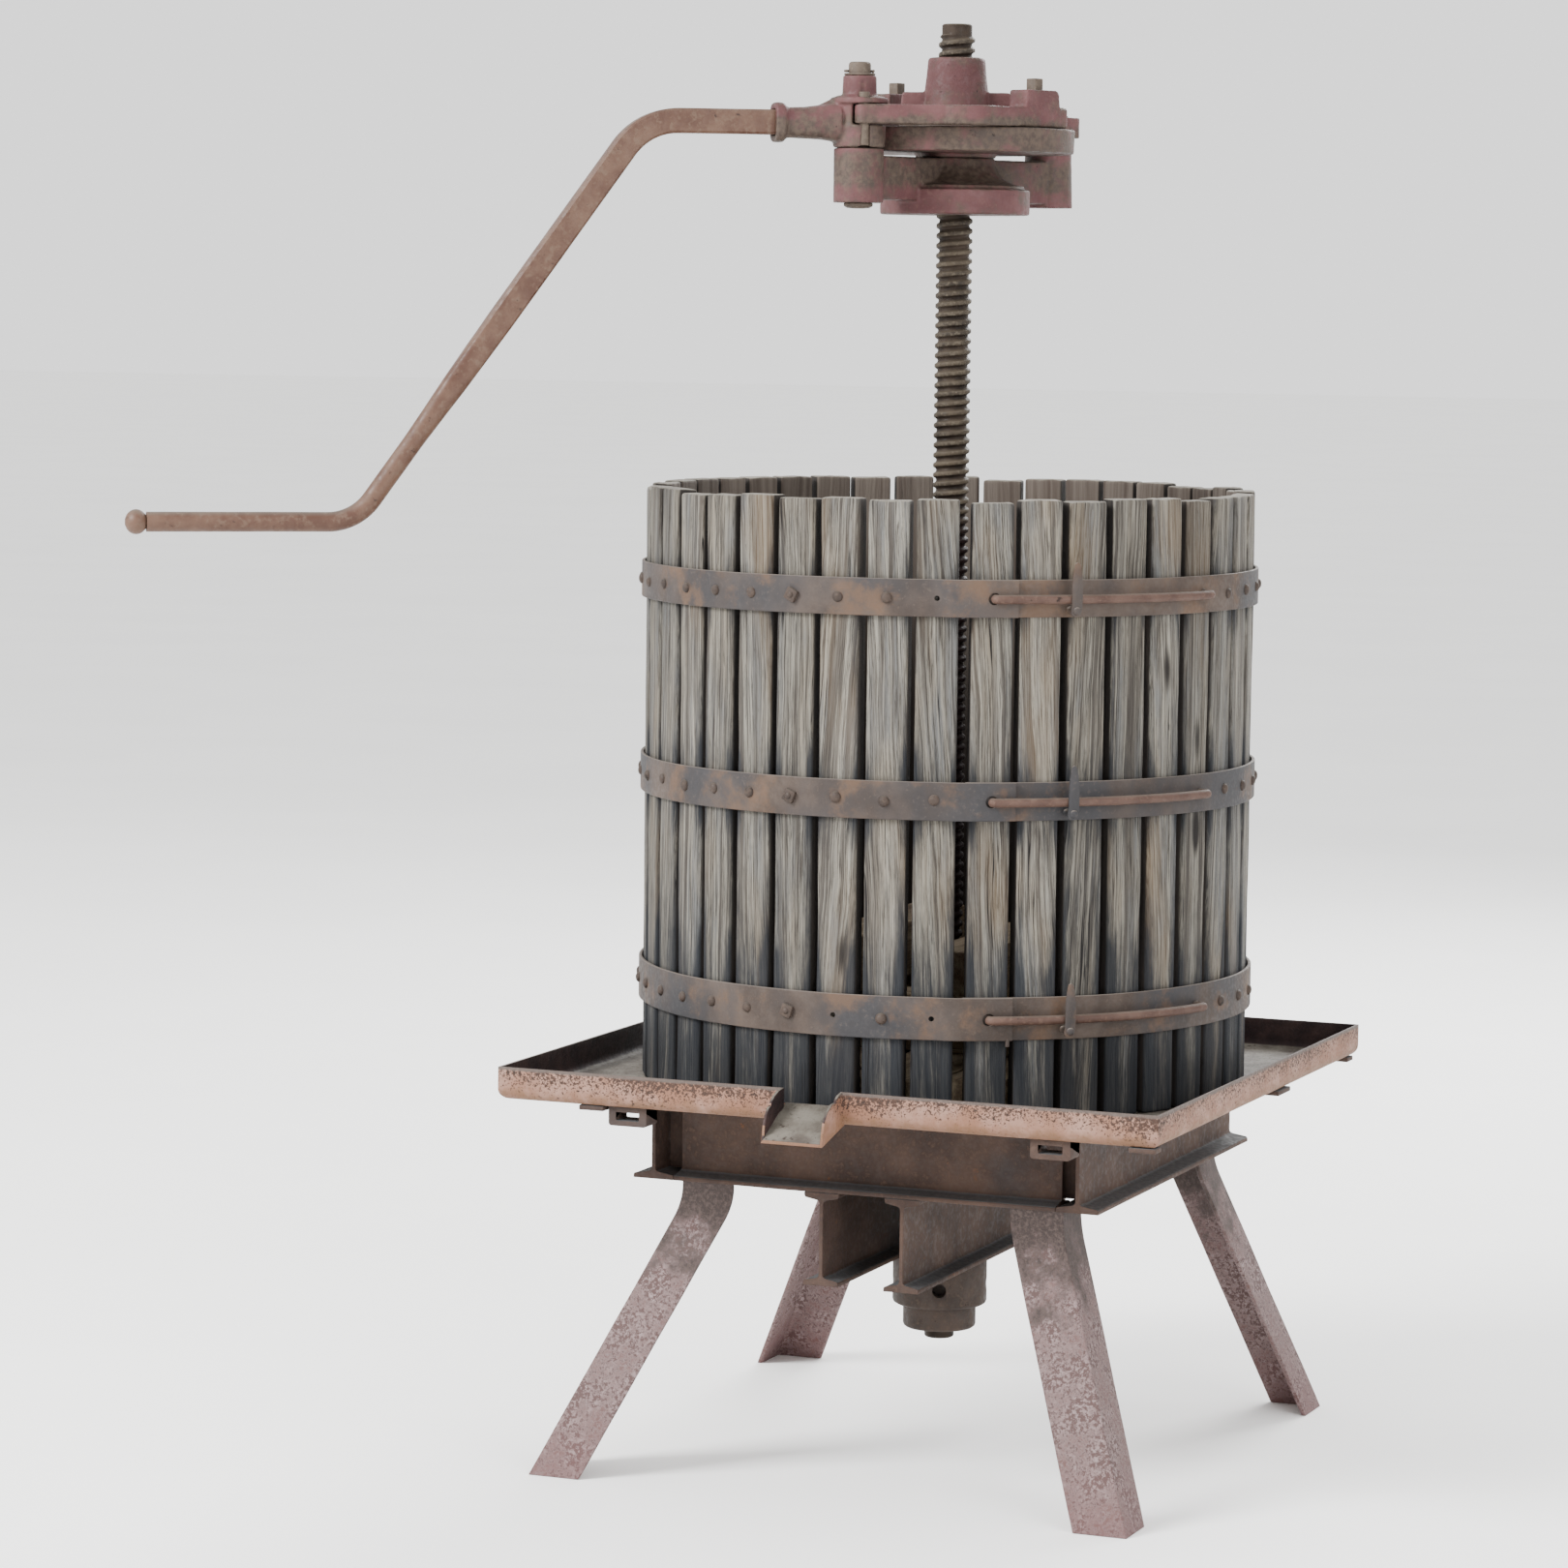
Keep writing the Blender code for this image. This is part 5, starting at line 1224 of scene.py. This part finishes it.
def lever_path():
    """The lever bar's centre line: level, down a slope and level again, with a ball at the end."""
    corner_top, corner_low = (0.2447, LEVER_Z), (0.5648, 1.0848)
    slope = math.atan2(corner_top[1] - corner_low[1], corner_low[0] - corner_top[0])
    stations = [(0.036 + 0.014 * k, LEVER_Z, BAR_HALF, 0.0) for k in range(12)]
    bends = 14
    for corner, radius, half, roundness, first in ((corner_top, 0.075, BAR_HALF, 0.0, True),
                                                   (corner_low, 0.060, GRIP_R, 1.0, False)):
        run = radius * math.tan(slope / 2)
        for k in range(bends + 1):
            a = slope * k / bends
            if first:
                x, z = corner[0] - run + radius * math.sin(a), corner[1] - radius * (1 - math.cos(a))
            else:
                x = corner[0] + run - radius * math.sin(slope - a)
                z = corner[1] + radius * (1 - math.cos(slope - a))
            stations.append((x, z, half, roundness))
        if first:
            for share, width, soft in ((0.20, BAR_HALF, 0.0), (0.35, BAR_HALF, 0.0), (0.50, BAR_HALF, 0.05),
                                       (0.58, 0.0135, 0.2), (0.66, 0.0130, 0.45), (0.73, 0.0121, 0.8),
                                       (0.80, GRIP_R, 1.0)):
                stations.append((corner_top[0] + share * (corner_low[0] - corner_top[0]),
                                 corner_top[1] + share * (corner_low[1] - corner_top[1]), width, soft))
    stations += [(0.62 + 0.025 * k, corner_low[1], GRIP_R, 1.0) for k in range(1, 8)]
    ball, centre = 0.0138, 0.8062
    for k in range(2, 12):
        a = math.pi * k / 12
        stations.append((centre - 0.0125 * math.cos(a), corner_low[1], max(ball * math.sin(a), 0.002), 1.0))
    stations.sort()
    return [(lever_point(reach, z), half, roundness) for reach, z, half, roundness in stations]


def make_lever_bar():
    mesh = bar_sections(lever_path())
    for vertex in mesh.vertices:
        vertex.co += 0.0003 * noise.noise_vector(vertex.co * 22)
    piece("lever_bar_forging", mesh, "lever_bar", "lever_steel", ["lever_bar"])


def make_pins():
    """The lever's pivot pin with its split pin, and the small bolted plate on the far boss."""
    px, py = head(PIVOT_OFF, 0)
    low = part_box("pivot_pin")[0].z
    profile = [(0, 1.5994), (PIVOT_R - 0.0022, 1.5994), (PIVOT_R - 0.0004, 1.5978), (PIVOT_R, 1.5960),
               (PIVOT_R, BOSS_BOTTOM - GAP), (0.0158, BOSS_BOTTOM - GAP), (0.0165, BOSS_BOTTOM - 0.0015),
               (0.0160, BOSS_BOTTOM - 0.0040), (0.0125, low + 0.0006), (0.0060, low), (0, low)]
    piece("pivot_pin_bar", turned(profile, (px, py), 64), "head", "pin_steel", ["pivot_pin"])
    bore = PIVOT_R + GAP
    washer = turned([(bore, 1.5867), (0.0170, 1.5867), (0.0175, 1.5862), (0.0175, 1.5850), (0.0170, 1.5844),
                     (bore, 1.5844)], (px, py), 64)
    piece("pivot_washer", washer, "head", "pin_steel")
    view = math.radians(22.4)
    along, back = Vector((math.cos(view), math.sin(view), 0)), Vector((math.sin(view), -math.cos(view), 0))
    centre = Vector((px, py, 1.5892))
    wire = [(0.0155, 0.0060), (0.0140, 0.0024), (0.0115, 0.0011), (-0.0125, 0.0011)]
    bends = [math.pi * k / 8 for k in range(9)]
    wire += [(-0.0140 - 0.0026 * math.sin(a), 0.0026 * math.cos(a)) for a in bends]
    wire += [(-0.0125, -0.0011), (0.0115, -0.0011), (0.0140, -0.0024), (0.0150, -0.0065)]
    path = [centre + along * forward + back * out for forward, out in wire]
    path[-1].z -= 0.001
    piece("split_pin_wire", tube(path, 0.0014, 12), "head", "pin_steel", ["split_pin"])
    low, high = FAR_BOSS_TOP + GAP, 1.5485
    half = 0.018
    flat = filleted([(-PIVOT_OFF - 0.0395, -half), (-PIVOT_OFF + 0.0270, -half), (-PIVOT_OFF + 0.0270, half),
                     (-PIVOT_OFF - 0.0395, half)], [0.008, 0.004, 0.004, 0.008], 5)
    plate = prism([head(x, y) for x, y in flat], low, high)
    piece("boss_plate_casting", cast([plate]), "head", "head_iron", ["boss_plate"])
    at = head(-PIVOT_OFF - 0.020, 0)
    six = [(at[0] + polar(0.0083, 60 * k)[0], at[1] + polar(0.0083, 60 * k)[1]) for k in range(6)]
    bolt = bevelled(prism(six, high + 0.0016, 1.5592), 0.0008, 2)
    disc = turned([(0, high + 0.0019), (0.0098, high + 0.0019), (0.0100, high + 0.0004), (0, high + 0.0004)],
                  at, 48)
    stud = bevelled(rod(0.0046, (*at, 1.5585), (*at, 1.5600), 32), 0.0005, 2)
    made = shaded(joined([bolt, disc, stud]))
    piece("boss_bolt_head", made, "head", "pin_steel", ["boss_bolt"])


# ---------------------------------------------------------------- surroundings
def look_matrix(place, yaw, pitch, roll):
    """A camera's matrix from its place and its yaw, downward pitch and roll in degrees."""
    yaw, pitch, roll = (math.radians(value) for value in (yaw, pitch, roll))
    forward = Vector((-math.sin(yaw) * math.cos(pitch), math.cos(yaw) * math.cos(pitch), -math.sin(pitch)))
    right = Vector((math.cos(yaw), math.sin(yaw), 0))
    up = right.cross(forward)
    side = right * math.cos(roll) + up * math.sin(roll)
    top = -right * math.sin(roll) + up * math.cos(roll)
    matrix = Matrix((side, top, -forward)).transposed().to_4x4()
    matrix.translation = place
    return matrix


def make_camera():
    camera = bpy.data.objects.new("camera", bpy.data.cameras.new("camera"))
    camera.data.lens = 117.85
    camera.data.sensor_width = 36
    camera.matrix_world = look_matrix(AXIS + Vector((2.079, -5.538, 1.349)), 22.40, 5.539, 0.628)
    camera.data.clip_end = 200
    SCENE.collection.objects.link(camera)
    SCENE.camera = camera


def make_light(name, place, aim, size, power):
    lamp = bpy.data.lights.new(name, "AREA")
    lamp.shape, lamp.size, lamp.energy = "SQUARE", size, power
    light = bpy.data.objects.new(name, lamp)
    light.location = place
    light.rotation_euler = (Vector(place) - Vector(aim)).to_track_quat("Z", "Y").to_euler()
    SCENE.collection.objects.link(light)


def make_surroundings():
    world = bpy.data.worlds.new("studio")
    world.use_nodes = True
    world.node_tree.nodes["Background"].inputs["Color"].default_value = (1, 1, 1, 1)
    world.node_tree.nodes["Background"].inputs["Strength"].default_value = 1.6
    SCENE.world = world
    centre = (AXIS.x, AXIS.y, 0.8)
    make_light("key", (-3.2, -4.2, 4.6), centre, 2.4, 900)
    make_light("fill", (4.5, -3.0, 2.6), centre, 3.0, 200)
    make_light("back", (0.5, 4.5, 3.5), centre, 2.6, 330)
    bm = bmesh.new()
    bmesh.ops.create_grid(bm, x_segments=1, y_segments=1, size=60)
    floor = bpy.data.objects.new("floor", to_mesh(bm, "floor"))
    p = Paint("pale_floor")
    shade = p.mix(p.step(p.noise(1.3, 4), 0.3, 0.7), (0.93, 0.93, 0.92), (0.96, 0.96, 0.95))
    floor.data.materials.append(p.done(shade, 0.85, tone=(1.0, 1.0)))
    floor.location.z = -0.0005
    SCENE.collection.objects.link(floor)


make_camera()
make_surroundings()
make_tray()
make_cleats()
make_stand()
make_carry_loops()
make_spindle()
make_collar()
make_half_basket("right", SPLIT, "frame")
make_half_basket("left", SPLIT + 180, "basket_left")
make_closing("front", SPLIT, "frame")
make_closing("back", SPLIT + 180, "basket_left")
make_stub()
make_stack()
make_base()
make_wheel()
make_link("front", 1)
make_link("rear", -1)
make_lever_socket()
make_lever_bar()
make_pins()
